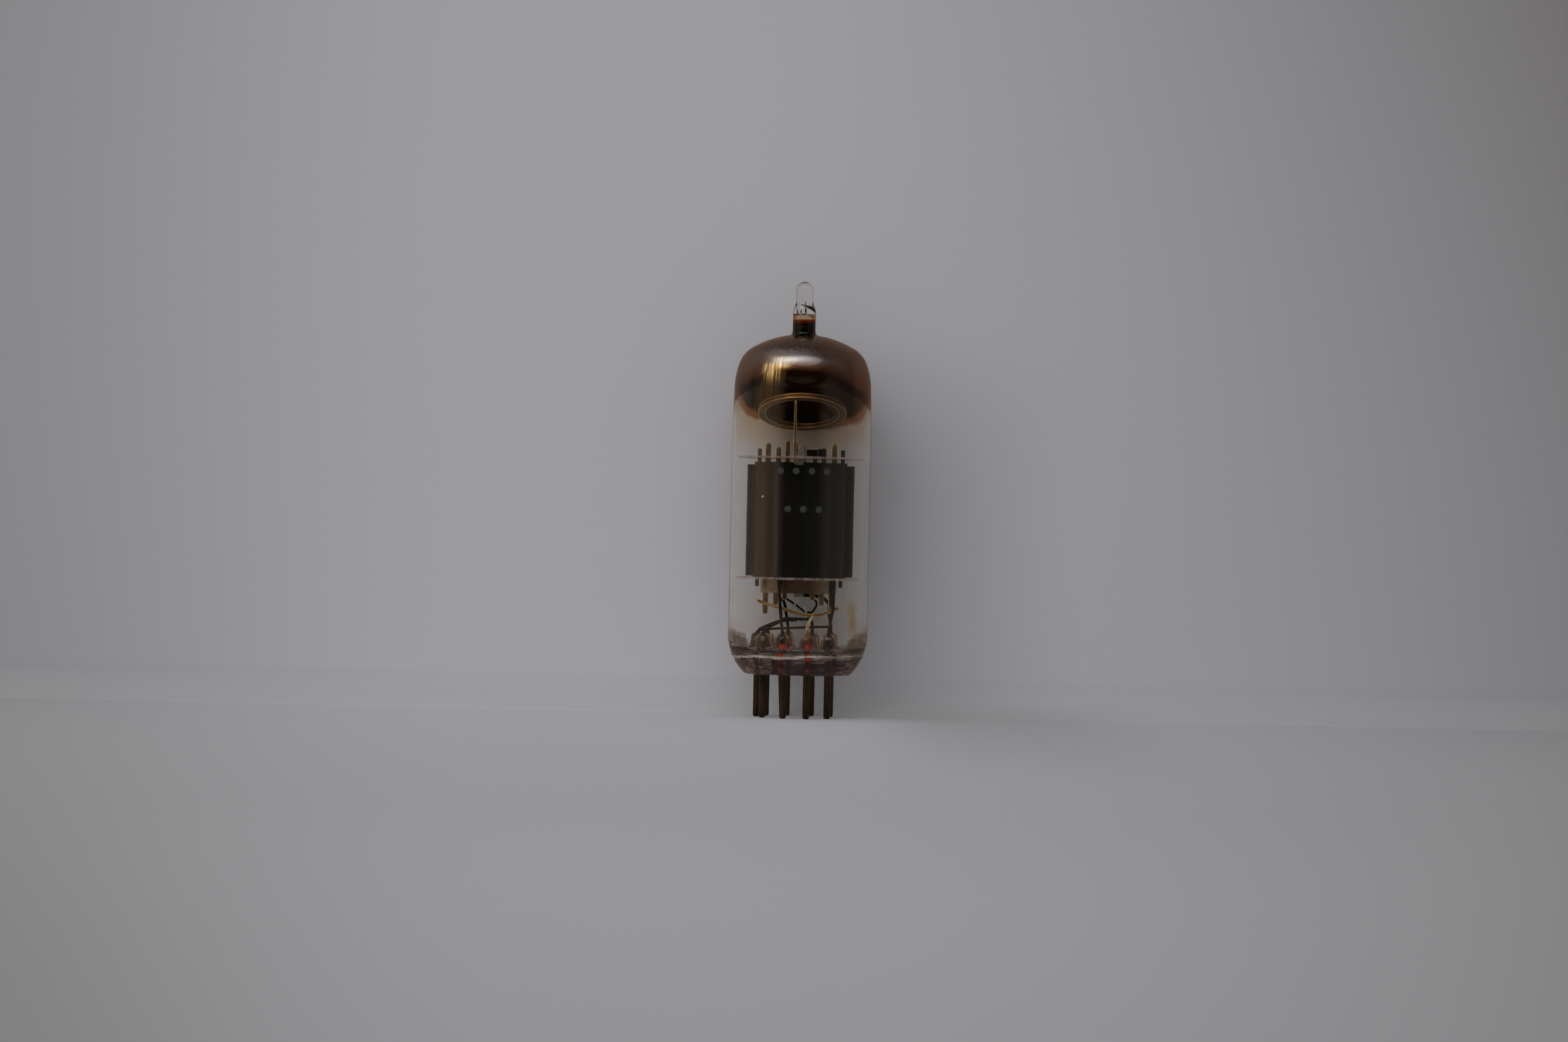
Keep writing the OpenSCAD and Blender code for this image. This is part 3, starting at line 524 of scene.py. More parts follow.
def shapeOutside(mesh, b):  # fused seam, slow waves of hand-worked glass and a collar round each pin
    spots = pinSpots(b)
    ridgeOut, ridgeHalf = b["ridge"]
    grooveIn, grooveHalf = b["groove"]
    for v in mesh.verts:
        flat = Vector((v.co.x, v.co.y))
        if v.co.z < b["underside"] + 0.01:
            near = min((flat - s).length for s in spots)
            v.co.z -= b["collar"] * math.exp(-max(0.0, near - b["pinRadius"]) / b["collarFade"])
            continue
        if flat.length < 2:  # the neck and the tip stay as turned
            continue
        angle = math.atan2(v.co.y, v.co.x)
        around = Vector((math.cos(angle), math.sin(angle), 0))
        seam = b["seam"] + b["seamWander"] * noise.noise(around * 1.7)
        up = v.co.z - seam
        ridge = ridgeOut * math.exp(-(up / ridgeHalf) ** 2)
        groove = grooveIn * math.exp(-((up + b["grooveDown"]) / grooveHalf) ** 2)
        low = max(0.0, min(1.0, (b["seam"] + 2.2 - v.co.z) / 2.5))
        wave = b["wave"] * low * noise.noise(Vector((around.x * 5, around.y * 5, v.co.z * 1.3)))
        v.co += around * (ridge - groove + wave - b["slack"])


def shapeInside(mesh, b):  # the skewed end of the bore
    for v in mesh.verts:
        if v.co.z > b["neckTop"] - 1:
            lift = v.co.z - b["neckTop"] + 1
            v.co.z -= b["boreSkew"] * v.co.x * lift


def bellLine(b):  # a mound's profile: a flare at its foot, a shoulder, and a collar on the lead
    flare = [(0.5, -0.6), (0.3, -0.05), (0.08, 0.05), (-0.02, 0.22)]
    line = [(0, b["floor"] - 0.6)] + [(b["mound"] + out, b["floor"] + up) for out, up in flare]
    for i in range(1, 12):
        up = math.sin(math.radians(7.2 * i + 3))
        radius = b["mound"] * (0.92 * (1 - up * up) ** 0.22 + 0.08 * (1 - up))
        line.append((radius, b["floor"] + b["moundUp"] * up))
    top = b["floor"] + b["moundUp"]
    return line + [(b["lead"] + 0.1, top + 0.08), (b["lead"] + 0.03, top + 0.25), (0, top + 0.25)]


def carveBells(mesh, b):  # leaves a mound of glass round each lead standing in the hollow of the bulb
    bells = bmesh.new()
    for k, spot in enumerate(pinSpots(b)):
        bell = spun(bellLine(b), 40)
        for v in bell.verts:
            wave = noise.noise(Vector((v.co.x * 1.5, v.co.y * 1.5 + 9 * k, v.co.z * 0.5)))
            v.co.x *= 1 + b["moundWave"] * wave
            v.co.y *= 1 + b["moundWave"] * wave
            v.co += Vector((spot.x, spot.y, 0))
        part = bpy.data.meshes.new("bell")
        bell.to_mesh(part)
        bells.from_mesh(part)
        bpy.data.meshes.remove(part)
        bell.free()
    pieces = []
    for name, source in (("hollow", mesh), ("bells", bells)):
        data = bpy.data.meshes.new(name)
        source.to_mesh(data)
        source.free()
        pieces.append(bpy.data.objects.new(name, data))
        scene.collection.objects.link(pieces[-1])
    hollow, bells = pieces
    carve = hollow.modifiers.new("carve", "BOOLEAN")
    carve.operation = "DIFFERENCE"
    carve.solver = "EXACT"
    carve.object = bells
    bpy.context.view_layer.update()
    carved = bmesh.new()
    carved.from_object(hollow, bpy.context.evaluated_depsgraph_get())
    for piece in pieces:
        data = piece.data
        bpy.data.objects.remove(piece)
        bpy.data.meshes.remove(data)
    return carved


def pieceFrom(meshes, name, material, slot, *replaced):  # one piece in metres from meshes in mm
    data = bpy.data.meshes.new(name)
    whole = bmesh.new()
    for mesh in meshes:
        part = bpy.data.meshes.new("part")
        mesh.to_mesh(part)
        whole.from_mesh(part)
        bpy.data.meshes.remove(part)
        mesh.free()
    bmesh.ops.scale(whole, vec=(mm, mm, mm), verts=whole.verts)
    for face in whole.faces:
        face.smooth = True
    whole.to_mesh(data)
    whole.free()
    data.materials.append(material)
    piece = bpy.data.objects.new(name, data)
    scene.collection.objects.link(piece)
    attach(piece, "root")
    if replaced:
        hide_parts(*replaced)
    return piece


clearGlass = {
    "clear": rgb(255, 254, 251),
    "stain": rgb(236, 204, 136),
    "stainAcross": (7.2, 8.0, 8.4, 9.0),
    "stainUp": (11.8, 13.4, 15.8, 18.4),
    # painted shade along its outline, where it is seen edge on; darker on the tip
    "edge": rgb(70, 64, 58),
    "tipOutlineShade": rgb(44, 38, 34),
    "tea": rgb(250, 239, 222),  # the inside's warm haze under the film
    "teaUp": (38.6, 43.5, 47.5, 50),
    "speck": rgb(40, 34, 30),
    "specks": [((9.8, -3.4, 25.0), 0.18), ((9.75, -3.5, 20.3), 0.12), ((8.0, -6.6, 19.0), 0.12)],
    "bell": rgb(206, 164, 122),
    "bellStreak": rgb(104, 62, 36),
    "bellTop": rgb(240, 226, 206),
    "bellReach": (7.7, 7.5),
    "bellEnd": (16, 14),
    "corner": rgb(158, 122, 82),  # painted shade in the thick corner above the button, where it is seen edge on
    "cornerStreak": rgb(50, 34, 20),
    "cornerUp": 11.7,
    "cornerBand": (-1.7, -1.3, 0.5, 0.62),  # heights over the corner's slanting middle
    "beltFrom": (2.6, 3.4),  # its darker stretch on the right
    "beltUp": (9.3, 9.6),
    "foot": rgb(226, 214, 216),
    "footStreak": rgb(92, 74, 84),
    "blue": rgb(34, 36, 66),
    "blueUp": (7.0, 7.5),
    "ior": 1.5,
    "seamRough": 0.3,
    "shade": rgb(253, 252, 250),  # what is left of the light of a lamp behind it
}


def glassBody(t, look):  # clear, with a warm haze, a brown stain and a few specks
    x, y, z = t.axes()
    colour = t.blend(t.band(z, *look["teaUp"]), look["clear"], look["tea"])
    run = t.rise(t.noise(0.9, (1, 1, 0.3), 4), 0.36, 0.6)
    stainX = x + (t.noise(0.5, (1, 1, 0.5), 3) - 0.5) * 1.6
    stain = t.band(stainX, *look["stainAcross"]) * t.band(z, *look["stainUp"])
    colour = t.blend(stain * run * 0.7, colour, look["stain"])
    for spot, size in look["specks"]:
        colour = t.blend(t.rise(t.distance(spot), size, size * 0.6), colour, look["speck"])
    return colour


def glassFoot(t, colour, look, b, grazing):  # the mounds with painted shade at their outlines, the thick corner over the button with painted shade where it is seen edge on, the button
    x, y, z = t.axes()
    far = t.math("SQRT", x * x + y * y)
    upright = t.rise(t.noise(2.2, (1, 1, 0.12), 3), 0.4, 0.64)
    bells = t.rise(z, b["floor"] + 0.05, b["floor"] + 0.4) * t.rise(far, *look["bellReach"])
    bells = bells * t.rise(z, *look["bellEnd"])
    # upright streaks, and painted shade at the mounds' outlines
    dark = t.math("MAXIMUM", upright, t.rise(grazing, 0.5, 0.85))
    tone = t.blend(dark, look["bell"], look["bellStreak"])
    tone = t.blend(t.rise(z, b["floor"] + 2.0, b["floor"] + 2.5), tone, look["bellTop"])
    colour = t.blend(bells, colour, tone)
    level = t.rise(t.noise(1.5, (0.5, 0.5, 2.0), 4), 0.42, 0.6)
    slope = z - look["cornerUp"] - (grazing - 0.5) * 2.4 + (t.noise(0.6, (1, 1, 2.5), 3) - 0.5) * 0.7
    # painted shade where the thick corner is seen edge on
    corner = t.rise(grazing, 0.26, 0.36) * t.band(slope, *look["cornerBand"])
    corner = corner * t.rise(far, b["radius"] - 1.8, b["radius"] - 1.2)
    belt = t.rise(x, *look["beltFrom"]) * t.rise(y, 0, -1) * t.rise(z, *look["beltUp"])
    belt = belt * t.rise(slope, 0.2, 0.0) * t.rise(far, b["radius"] - 0.4, b["radius"] - 0.2) * 0.7
    tone = t.blend(level, look["corner"], look["cornerStreak"])
    colour = t.blend(t.math("MAXIMUM", corner, belt) * 0.85, colour, tone)
    smear = t.rise(t.noise(1.0, (0.6, 0.6, 4), 4), 0.46, 0.56)
    tone = t.blend(smear, look["foot"], look["footStreak"])
    colour = t.blend(t.rise(z, b["seam"] - 0.3, b["seam"] - 0.8), colour, tone)
    blots = t.rise(t.noise(0.5, (1, 1, 1.6), 4), 0.50, 0.55) * t.rise(z, b["seam"] - 0.3, b["seam"] - 0.5)
    return t.blend(blots * t.rise(z, *look["blueUp"]) * 0.9, colour, look["blue"])


def glassFinish(look, b):
    material, t = newFinish("bulbGlass")
    z = t.axes()[2]
    grazing = t.grazing()
    # painted shade: darker towards its outline, more on the tip
    onTip = t.rise(z, b["crownTop"], b["crownTop"] + 1)
    edge = t.blend(onTip, look["edge"], look["tipOutlineShade"])
    colour = t.blend(t.rise(grazing + onTip * 0.12, 0.78, 1.0) * 0.9, glassBody(t, look), edge)
    waves = t.noise(0.16, (1, 1, 0.3), 2) * 0.8 + t.noise(0.9, (1, 1, 0.5), 1) * 0.06
    drawn = t.noise(1.1, (1, 1, 2.2), 3) * t.rise(z, 11.0, 8.5) * 0.35
    seam = t.band(z, *[b["seam"] + off for off in (-0.25, -0.1, 0.1, 0.25)])
    shader = t.add("BsdfPrincipled", sockets={
        "Base Color": glassFoot(t, colour, look, b, grazing),
        "Roughness": seam * look["seamRough"],
        "IOR": look["ior"],
        "Transmission Weight": 1.0,
        "Normal": t.bump(waves + drawn, 0.1, 0.35),
    })
    lamp = t.add("LightPath", output="Is Shadow Ray")
    through = t.add("BsdfTransparent", sockets={"Color": look["shade"]})
    t.output(t.add("MixShader", sockets={0: lamp, 1: shader, 2: through}))
    return material


outlineOf(bulb)
outside = spun(outerLine(bulb), bulb["steps"])
shapeOutside(outside, bulb)
fused = outside.copy()  # the seam line is cut from it
inside = spun(innerLine(bulb), bulb["steps"])
shapeInside(inside, bulb)
inside = carveBells(inside, bulb)
bmesh.ops.reverse_faces(inside, faces=inside.faces)
glass = glassFinish(clearGlass, bulb)
pieceFrom([outside, inside], "glass_envelope", glass, "bulb_glass", "glass_bulb", "button_stem")

print("getter film")
film = {
    "gap": -0.05,  # it lies just under the inner skin of the glass
    "edgeUp": 48.0,  # height of the film's edge on the bulb's axis
    "tilt": 24,  # degrees that its edge falls towards the back
    "roll": 3,  # and towards the right
    "fringe": 1.9,
    "spare": 0.7,  # clear skin below the fringe
    "neckStop": 60.15,
    "neckFade": 1.35,  # how far its thin peach part reaches down the neck
    "mirror": rgb(154, 134, 124),
    # a painted highlight where the lamps are mirrored
    "paintedHighlight": rgb(196, 186, 182),
    "highlightUp": (52.2, 53.2, 54.0, 55.0),
    "low": rgb(142, 106, 82),
    "edge": rgb(116, 78, 54),
    "tint": (0.42, 0.26, 0.17, 1),  # of what it mirrors at a low angle
    # a painted golden reflection in streaks, pale at their top
    "paleHighlight": rgb(232, 226, 214),
    "goldReflection": rgb(250, 204, 120),
    "goldAcross": (-6.0, -3.8, -3.4, -1.4),
    "paintedGlow": (0.36, 0.16, 0.04, 1),  # a painted glow standing in for the golden streaks that its inner face throws back
    "glowTop": (0.80, 0.62, 0.32, 1),
    "glowAcross": (-6.6, -5.9, -5.2, -2.6),
    "streaks": 24,  # of the golden band, over a radian round the bulb
    "dots": 4.2,
    "dotsUp": (53.9, 54.3, 55.2, 55.9),
    "dotsAcross": (-7, -5, 2, 5),
    "neck": rgb(24, 14, 11),
    "pores": rgb(40, 24, 18),
    "inner": rgb(56, 38, 27),
    "tea": (0.50, 0.24, 0.09, 1),  # light through the thin rim of the film
    "pale": (0.90, 0.80, 0.62, 1),  # and before the golden streaks
    "peach": (0.93, 0.76, 0.62, 1),
    "neckTea": (0.42, 0.14, 0.04, 1),
    "rim": (0.16, 0.06, 0.03, 1),
    "rough": 0.26,
}


def filmStreak(t, look):  # upright streaks round the bulb
    x, y, z = t.axes()
    around = t.math("ARCTAN2", x, y)
    sockets = {"W": around, "Scale": look["streaks"], "Detail": 4.0}
    return t.rise(t.add("TexNoise", {"noise_dimensions": "1D"}, sockets), 0.38, 0.62)


def filmColour(t, look, edge):  # of its outer face: brown, a painted highlight, a painted golden reflection in streaks that is pale at its top, and dark pores
    x, y, z = t.axes()
    colour = t.blend(t.rise(z, 49.5, 53.5), look["low"], look["mirror"])
    colour = t.blend(t.rise(edge, 0.2, 2.2), look["edge"], colour)
    # painted highlight
    patch = t.band(z, *look["highlightUp"]) * t.rise(t.math("ABSOLUTE", x + 1.8), 4.6, 1)
    colour = t.blend(patch, colour, look["paintedHighlight"])
    streak = filmStreak(t, look)
    # painted golden reflection, streaked
    reflectionCurtain = t.band(x, *look["goldAcross"]) * t.rise(y, -1, -3) * t.rise(z + x * 0.22, 53.0, 52.1)
    tone = t.blend(t.rise(z + streak * 0.4, 52.1, 52.7), look["goldReflection"], look["paleHighlight"])
    colour = t.blend(reflectionCurtain * (streak * 0.35 + 0.45), colour, tone)
    dots = t.rise(t.noise(look["dots"], detail=1.0), 0.52, 0.58)
    dots = dots * t.band(z, *look["dotsUp"]) * t.band(x, *look["dotsAcross"])
    colour = t.blend(dots * 0.85, colour, look["pores"])
    return t.blend(t.rise(z, 56.1, 56.7), colour, look["neck"])


def filmFinish(look):
    material, t = newFinish("getterMirror")
    x, y, z = t.axes()
    fall = math.tan(math.radians(look["tilt"]))
    side = math.tan(math.radians(look["roll"]))
    over = z - look["edgeUp"] + y * fall + x * side + t.noise(0.5, detail=4) - 0.5
    over = over + t.rise(t.math("ABSOLUTE", x), 4, 9) * t.rise(y, 0, -2) * 1.2 + t.rise(y, -3, -8) * 0.7
    under = look["neckStop"] - z + (t.noise(0.8) - 0.5) * 0.4
    edge = t.math("MINIMUM", over, (under - look["neckFade"]) * 3)
    inner = t.add("NewGeometry", output="Backfacing")
    # painted glow standing in for reflections: golden upright streaks on its inner face and low on the
    # front of its outer face
    lean = x - (z - 50) * 0.28
    strip = t.band(lean, *look["glowAcross"])
    front = strip * (1 - inner) * t.rise(y, -1, -3)
    strip = strip * inner + front * t.rise(z, 52.7, 52.0) * 0.6
    paintedGlowShare = strip * (filmStreak(t, look) * 0.95 + 0.05)
    paintedGlowShare = paintedGlowShare * (t.rise(z, 49.3, 51.8) * 0.9 + t.rise(z, 44.5, 49) * 0.1)
    paintedGlow = t.blend(t.rise(z, 50.0, 51.8), look["paintedGlow"], look["glowTop"])
    coating = t.add("BsdfPrincipled", sockets={
        "Base Color": t.blend(inner, filmColour(t, look, edge), look["inner"]),
        "Metallic": 1.0,
        "Specular Tint": look["tint"],
        "Emission Color": t.blend(paintedGlowShare, (0, 0, 0, 1), paintedGlow),
        "Emission Strength": 1.0,
        "Roughness": inner * 0.15 + look["rough"],
        "Normal": t.bump(t.noise(2.4, detail=2.0), 0.003),
    })
    tea, pale, peach, neckTea, rim = [t.add("BsdfTransparent", sockets={"Color": look[part]})
                                      for part in ("tea", "pale", "peach", "neckTea", "rim")]
    peach = t.add("MixShader", sockets={0: t.rise(under, 0.75, 1.1), 1: peach, 2: neckTea})
    peach = t.add("MixShader", sockets={0: t.rise(under, 0.26, 0.16), 1: peach, 2: rim})
    tea = t.add("MixShader", sockets={0: front, 1: tea, 2: pale})
    tea = t.add("MixShader", sockets={0: t.rise(z, 56, 57), 1: tea, 2: peach})
    clear = t.add("BsdfTransparent")
    coated = t.add("MixShader", sockets={0: t.rise(edge, -0.3, 0.7), 1: tea, 2: coating})
    fringe = look["fringe"] * (1 - t.rise(y, 4.0, 8.5) * 0.65)
    shown = t.rise(over, 0 - fringe, fringe * -0.4) * t.rise(under, 0.02, 0.1)
    t.output(t.add("MixShader", sockets={0: shown, 1: clear, 2: coated}))
    return material


def makeFilm(look, b):
    inset = b["wall"] + look["gap"]
    bore = b["bore"] - look["gap"]
    line = [(b["radius"] - inset, b["straightTop"])] + crownLine(b, inset, bore)
    line += [(bore - thin, b["neckTop"] - down) for thin, down in ((0, 1.2), (0.02, 0.55), (0.05, 0.2))]
    mesh = spun(line, b["steps"] // 2)
    fall, side = (math.tan(math.radians(look[part])) for part in ("tilt", "roll"))
    spot = Vector((0, 0, look["edgeUp"] - look["fringe"] - look["spare"]))
    geometry = mesh.verts[:] + mesh.edges[:] + mesh.faces[:]
    bmesh.ops.bisect_plane(mesh, geom=geometry, plane_co=spot, clear_inner=True,
                           plane_no=Vector((side, fall, 1)).normalized())
    lowest = min(mesh.faces, key=lambda face: face.calc_center_median().z)
    if lowest.normal.dot(lowest.calc_center_median()) < 0:
        bmesh.ops.reverse_faces(mesh, faces=mesh.faces)
    pieceFrom([mesh], "getter_mirror", filmFinish(look), "getter_film", "getter_film")


makeFilm(film, bulb)

print("seam, cladding and creases")
seamLine = {
    "half": 0.5,  # half of the height within which it wanders
    "lift": 0.012,
    "pale": rgb(226, 216, 200),
    "alpha": 0.75,
}


def makeSeamLine(line, look, b):  # the milky line where the bulb's foot is fused to the button
    off = [f for f in line.faces if abs(f.calc_center_median().z - b["seam"]) > look["half"]]
    bmesh.ops.delete(line, geom=off, context="FACES")
    line.normal_update()
    for v in line.verts:
        v.co += v.normal * look["lift"]
    material, t = newFinish("seamLine")
    x, y, z = t.axes()
    wander = (t.noise(0.14, (1, 1, 0.2), 2) - 0.5) * 1.3
    across = t.math("ABSOLUTE", z - b["seam"] - wander)
    thick = t.noise(0.7, (1, 1, 0.2), 3) * 0.3
    grain = t.rise(t.noise(1.6, (1, 1, 2), 4), 0.3, 0.55)
    fade = 1 - t.rise(x, 2.5, 5) * 0.6
    t.output(t.add("BsdfPrincipled", sockets={
        "Base Color": look["pale"],
        "Alpha": t.rise(across, thick + 0.1, thick) * grain * fade * look["alpha"],
        "Roughness": 0.3,
    }))
    pieceFrom([line], "seam_line", material, "stem_glass")


makeSeamLine(fused, seamLine, bulb)

copperGlow = {
    "wires": ("seal_wire_7", "seal_wire_8"),
    "size": 0.46,
    "taper": 0.8,
    "from": 9.4,
    "to": 11.2,
    "colour": rgb(230, 62, 36),
}


def makeCopperGlow(look):  # the red cladding of two seal wires where it reaches up into their mounds
    mesh = bmesh.new()
    size = look["size"]
    for name in look["wires"]:
        low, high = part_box(name)
        spot = ((low.x + high.x) / 2 / mm, (low.y + high.y) / 2 / mm, (look["from"] + look["to"]) / 2)
        bmesh.ops.create_cone(mesh, cap_ends=True, segments=24, radius1=size, radius2=size * look["taper"],
                              depth=look["to"] - look["from"], matrix=Matrix.Translation(spot))
    material, t = newFinish("redCladding")
    t.output(t.add("BsdfPrincipled", sockets={"Base Color": look["colour"], "Roughness": 0.45}))
    pieceFrom([mesh], "red_cladding", material, "seal_copper")


makeCopperGlow(copperGlow)

sealFold = {
    "creases": [  # half width, length, middle and slope of each
        (0.36, 2.1, (0.6, 0, 60.9), 25),
        (0.09, 1.7, (0.1, 0, 61.1), 88),
        (0.09, 0.7, (-0.75, 0, 60.45), 80),
        (0.08, 0.6, (-0.35, 0, 60.4), 96),
    ],
    "thick": 0.12,
    "colour": rgb(30, 14, 10),
}


def makeSealFold(look):  # the dark creases where the tip was melted shut
    mesh = bmesh.new()
    for width, length, spot, slope in look["creases"]:
        cone = bmesh.ops.create_cone(mesh, cap_ends=True, segments=12, radius1=width,
                                     radius2=width * 0.3, depth=length)["verts"]
        thin = Matrix.Diagonal((1, look["thick"] / max(width, look["thick"]), 1, 1))
        turn = Matrix.Rotation(math.radians(-90 + slope), 4, "Y")
        bmesh.ops.transform(mesh, matrix=Matrix.Translation(spot) @ turn @ thin, verts=cone)
    material, t = newFinish("sealFold")
    t.output(t.add("BsdfPrincipled", sockets={"Base Color": look["colour"], "Roughness": 0.4}))
    pieceFrom([mesh], "seal_fold", material, "getter_film")


makeSealFold(sealFold)

print("plain marks")
marks = {
    "rows": [(36.6, 4), (31.0, 3)],  # height and count of each row of dots
    "step": 2.3,
    "size": 0.5,
    "middle": 0.4,
    "grey": rgb(120, 122, 116),
    "alpha": 0.26,
    "sunk": 0.012,  # how far inside the widest circle of the bulb they lie
}


def makeMarks(look, b):  # faint plain dots, in place of what is printed on the glass
    mesh = bmesh.new()
    radius = b["radius"] - look["sunk"]
    for height, count in look["rows"]:
        for i in range(count):
            across = look["middle"] + (i - (count - 1) / 2) * look["step"]
            dot = bmesh.ops.create_circle(mesh, cap_ends=True, segments=24, radius=look["size"])["verts"]
            middle = bmesh.ops.poke(mesh, faces=list(dot[0].link_faces))["verts"]
            for v in dot + middle:
                turn = (across + v.co.x) / radius
                v.co = Vector((radius * math.sin(turn), -radius * math.cos(turn), height + v.co.y))
    for face in mesh.faces:
        if face.normal.y > 0:
            face.normal_flip()
    material, t = newFinish("markInk")
    t.output(t.add("BsdfPrincipled", sockets={
        "Base Color": look["grey"],
        "Alpha": t.noise(2.5, detail=3) * 0.2 + (look["alpha"] - 0.1),
        "Roughness": 0.7,
    }))
    pieceFrom([mesh], "plain_marks", material, "bulb_glass")


makeMarks(marks, bulb)

print("round wires")
swept = {
    "wires": ("cathode_lead", "control_grid_lead", "screen_lead", "heater_lead_a", "heater_lead_b",
              "shield_stub", "anode_lead", "shield_lead", "control_grid_link", "shield_link",
              "suppressor_lead", "suppressor_link", "getter_support", "heater"),
    "join": 1e-6,
    "level": 1,
}


def roundWires(look):  # joins a wire's loose faces and rounds its flat sides
    group = bpy.data.node_groups.new("roundWire", "GeometryNodeTree")
    group.interface.new_socket("Geometry", in_out="INPUT", socket_type="NodeSocketGeometry")
    group.interface.new_socket("Geometry", in_out="OUTPUT", socket_type="NodeSocketGeometry")
    steps = [group.nodes.new(kind) for kind in (
        "NodeGroupInput", "GeometryNodeMergeByDistance", "GeometryNodeSubdivisionSurface",
        "GeometryNodeSetShadeSmooth", "NodeGroupOutput")]
    steps[1].inputs["Distance"].default_value = look["join"]
    steps[2].inputs["Level"].default_value = look["level"]
    for a, b in zip(steps, steps[1:]):
        out = [s for s in a.outputs if s.type == "GEOMETRY"][0]
        into = [s for s in b.inputs if s.type in ("GEOMETRY", "MESH")][0]
        group.links.new(out, into)
    for name in look["wires"]:
        rounding = nodes[name].modifiers.new("rounding", "NODES")
        rounding.node_group = group


roundWires(swept)

print("stage")
stage = {
    "wallBack": 11.5,  # the sheet rises close behind the bulb
    "cove": 5,
    "flatTo": 100,  # the cove doesn't bend the floor's shading further from it than this
    "reach": 500,
    "high": 420,
    "widen": 681,  # what lies further off looks narrower by this much, so the paint there is wider
    "centre": (-25, 20),  # where the painted pool of light on the paper is lightest
    "spread": (200, 260),
    # depths of the painted shadow beside the tube, on the floor and on the wall, and of the painted shade
    # on the left
    "floorShade": 0.28,
    "wallShade": 0.24,
    "leftShade": 0.2,
    "wallGrey": rgb(220, 218, 221),
    "coveGrey": rgb(200, 199, 201),
    "nearGrey": rgb(208, 207, 209),  # the floor close before the cove, painted lighter where the wall shades it
    "floorGrey": rgb(192, 191, 193),
    "mirrored": rgb(170, 134, 108),  # a painted reflection: how glass and metal see it beside the film and low down
    "mirroredHigh": rgb(108, 88, 76),
    "outer": rgb(150, 146, 146),  # far from the tube
    "plain": rgb(150, 148, 148),  # what the camera sees past them
}


def sheetMesh(look):  # a floor that rises behind the tube through a rounded cove, and goes on behind
    mesh = bmesh.new()
    reach, foot = look["reach"], look["wallBack"] - look["cove"]
    line = [(-reach, 0), (-look["flatTo"], 0)] + arc((foot, look["cove"]), look["cove"], -90, 0, 24)
    line += [(look["wallBack"], look["high"])]
    ends = [mesh.verts.new((-reach * mm, y * mm, z * mm)) for y, z in line]
    edges = [mesh.edges.new(pair) for pair in zip(ends, ends[1:])]
    edges.append(mesh.edges.new([mesh.verts.new((-reach * mm, y * mm, 0)) for y in (foot, reach)]))
    drawn = bmesh.ops.extrude_edge_only(mesh, edges=edges)["geom"]
    moved = [part for part in drawn if isinstance(part, bmesh.types.BMVert)]
    bmesh.ops.translate(mesh, vec=(2 * reach * mm, 0, 0), verts=moved)
    mesh.normal_update()
    for face in mesh.faces:
        face.smooth = True
        if face.normal.dot(Vector((0, -1, 1))) < 0:
            face.normal_flip()
    data = bpy.data.meshes.new("paper")
    mesh.to_mesh(data)
    mesh.free()
    return data


def paperFinish(look):  # a painted pool of light, lightest behind the tube, with painted shadows beside it; glass and metal see it brown, a painted reflection
    material, t = newFinish("paper")
    x, y, z = t.axes()
    up = z + y * 0.1
    wide = x / (y / look["widen"] + 1)
    middle, height = look["centre"]
    width, tall = look["spread"]
    # painted pool of light: the paper darkens away from its lightest spot
    off = ((wide - middle) / width) ** 2 + ((up - height) / tall) ** 2
    off = off + t.math("MAXIMUM", wide, 0.0) * up / 45000
    # painted shadow beside the tube, on the floor and on the wall
    shade = t.rise(z, 3, 0) * t.rise(x, 6, 22) * t.rise(x, 60, 30) * t.rise(y, -190, -20)
    off = off + shade * look["floorShade"]
    shade = t.rise(x, 6, 16) * t.rise(x, 44, 18) * t.rise(z, 62, 36) * t.rise(z, 0, 3)
    off = off + shade * look["wallShade"]
    # painted shade further out to the sides and on the left
    off = off + t.rise(y, -120, -400) * (wide / 110) ** 2 * 0.12
    off = off + t.rise(wide, -45, -120) * look["leftShade"]
    # painted light and shade that even out the lamps: darker on the floor and in the cove, where more
    # light falls, lighter just before the cove
    grey = t.blend(t.rise(y, -250, 10), look["floorGrey"], look["nearGrey"])
    grey = t.blend(t.rise(z, 0, 0.6), grey, look["coveGrey"])
    grey = t.blend(t.rise(z, 1.5, look["cove"] * 1.3), grey, look["wallGrey"])
    colour = t.blend(t.math("MAXIMUM", t.math("MINIMUM", off, 1.0), 0.0), grey, look["outer"])
    # painted reflection: glossy rays see the paper brown beside the film and low down
    glossy = t.math("GREATER_THAN", t.add("LightPath", output="Glossy Depth"), 0.5)
    dark = t.blend(t.rise(z, 60, 90), look["mirrored"], look["mirroredHigh"])
    beside = t.rise(z, 44, 48) * (0.85 - t.rise(x, 0, -30) * 0.3)
    colour = t.blend(glossy * (beside + t.rise(z, 15, 11) * 0.6), colour, dark)
    paper = t.add("BsdfDiffuse", sockets={"Color": colour})
    behind = t.add("NewGeometry", output="Backfacing")
    t.output(t.add("MixShader", sockets={0: behind, 1: paper, 2: t.add("BsdfTransparent")}))
    return material


def makeSheet(look):
    data = sheetMesh(look)
    data.materials.append(paperFinish(look))
    sheet = bpy.data.objects.new("paper", data)
    scene.collection.objects.link(sheet)


makeSheet(stage)

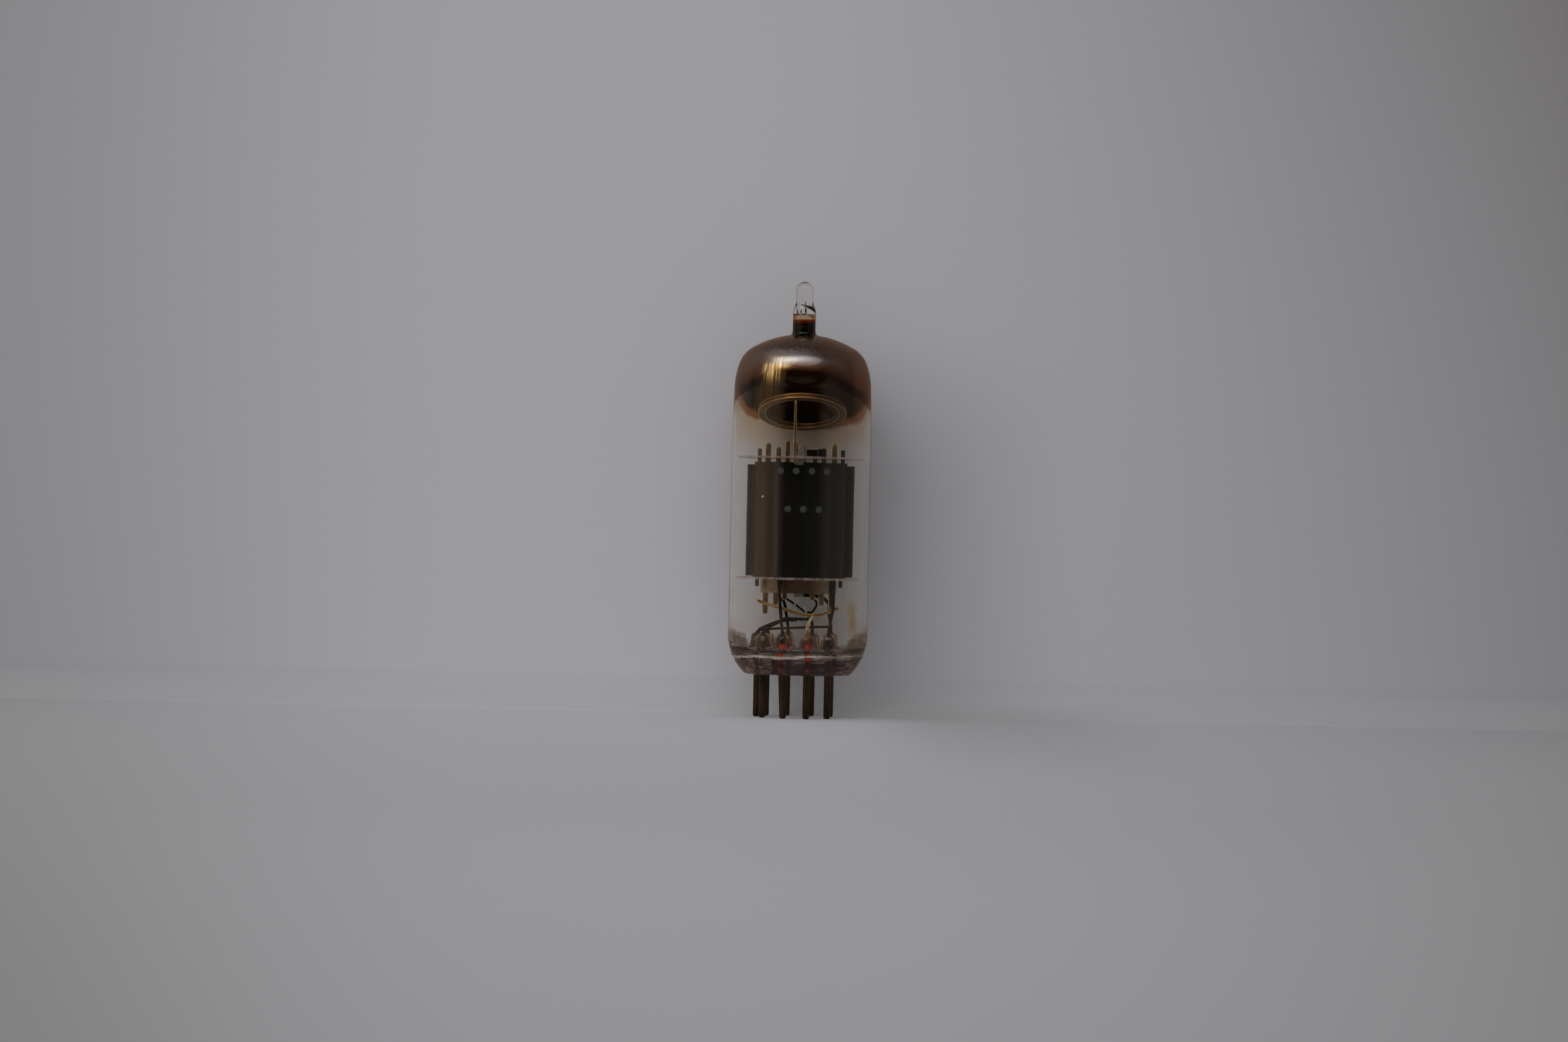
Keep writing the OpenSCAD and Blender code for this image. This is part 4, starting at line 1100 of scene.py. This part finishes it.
room = {
    "front": (0.004, 0.004, 0.004, 1),  # what shiny surfaces see on the camera's side
    "left": (0.26, 0.19, 0.13, 1),
    "right": (0.11, 0.095, 0.085, 1),
    "back": (0.09, 0.08, 0.075, 1),
    "fillLeft": (0.60, 0.60, 0.61, 1),  # what lights matt surfaces from either side
    "fillRight": (0.20, 0.20, 0.205, 1),
}


def makeWorld(look, plain):
    world = bpy.data.worlds.new("room")
    world.use_nodes = True
    scene.world = world
    t = Tree(world.node_tree)
    way = t.add("SeparateXYZ", sockets={"Vector": t.add("TexCoord", output="Generated")})
    x, y, z = [Signal(t, way.socket.node.outputs[i]) for i in range(3)]
    sides = t.blend(t.rise(x, -0.2, 0.2), look["left"], look["right"])
    mirrored = t.blend(t.rise(t.math("ABSOLUTE", x), 0.42, 0.75), look["front"], sides)
    mirrored = t.blend(t.rise(y, -0.1, 0.3), mirrored, look["back"])
    glossy = t.math("GREATER_THAN", t.add("LightPath", output="Glossy Depth"), 0.5)
    diffuse = t.math("GREATER_THAN", t.add("LightPath", output="Diffuse Depth"), 0.5)
    colour = t.blend(glossy, plain, mirrored)
    colour = t.blend(diffuse, colour, t.blend(t.rise(x, -0.5, 0.5), look["fillLeft"], look["fillRight"]))
    t.output(t.add("Background", sockets={"Color": colour, "Strength": 1.0}), "OutputWorld")


makeWorld(room, stage["plain"])

lamps = {  # way: from the object to the lamp; power follows from how bright its face is
    "topWindow": {"way": (0.02, -0.62, 0.785), "far": 600, "size": (580, 330), "face": 1.05,
                  "colour": (0.88, 0.95, 1.0)},
    "leftWindow": {"way": (-0.45, -0.53, 0.71), "far": 600, "size": (400, 330), "face": 1.3,
                   "colour": (1.0, 0.97, 0.92)},
}


def makeLamps(windows):
    aim = Vector((0, 0, 35))
    for name, look in windows.items():
        light = bpy.data.lights.new(name, "AREA")
        light.shape = "ELLIPSE"
        light.size, light.size_y = (s * mm for s in look["size"])
        light.energy = look["face"] * math.pi ** 2 / 4 * light.size * light.size_y
        light.color = look["colour"]
        lamp = bpy.data.objects.new(name, light)
        way = Vector(look["way"]).normalized()
        lamp.matrix_world = (Matrix.Translation((aim + way * look["far"]) * mm)
                             @ way.to_track_quat("Z", "Y").to_matrix().to_4x4())
        scene.collection.objects.link(lamp)


makeLamps(lamps)

scene.view_settings.view_transform = "Standard"
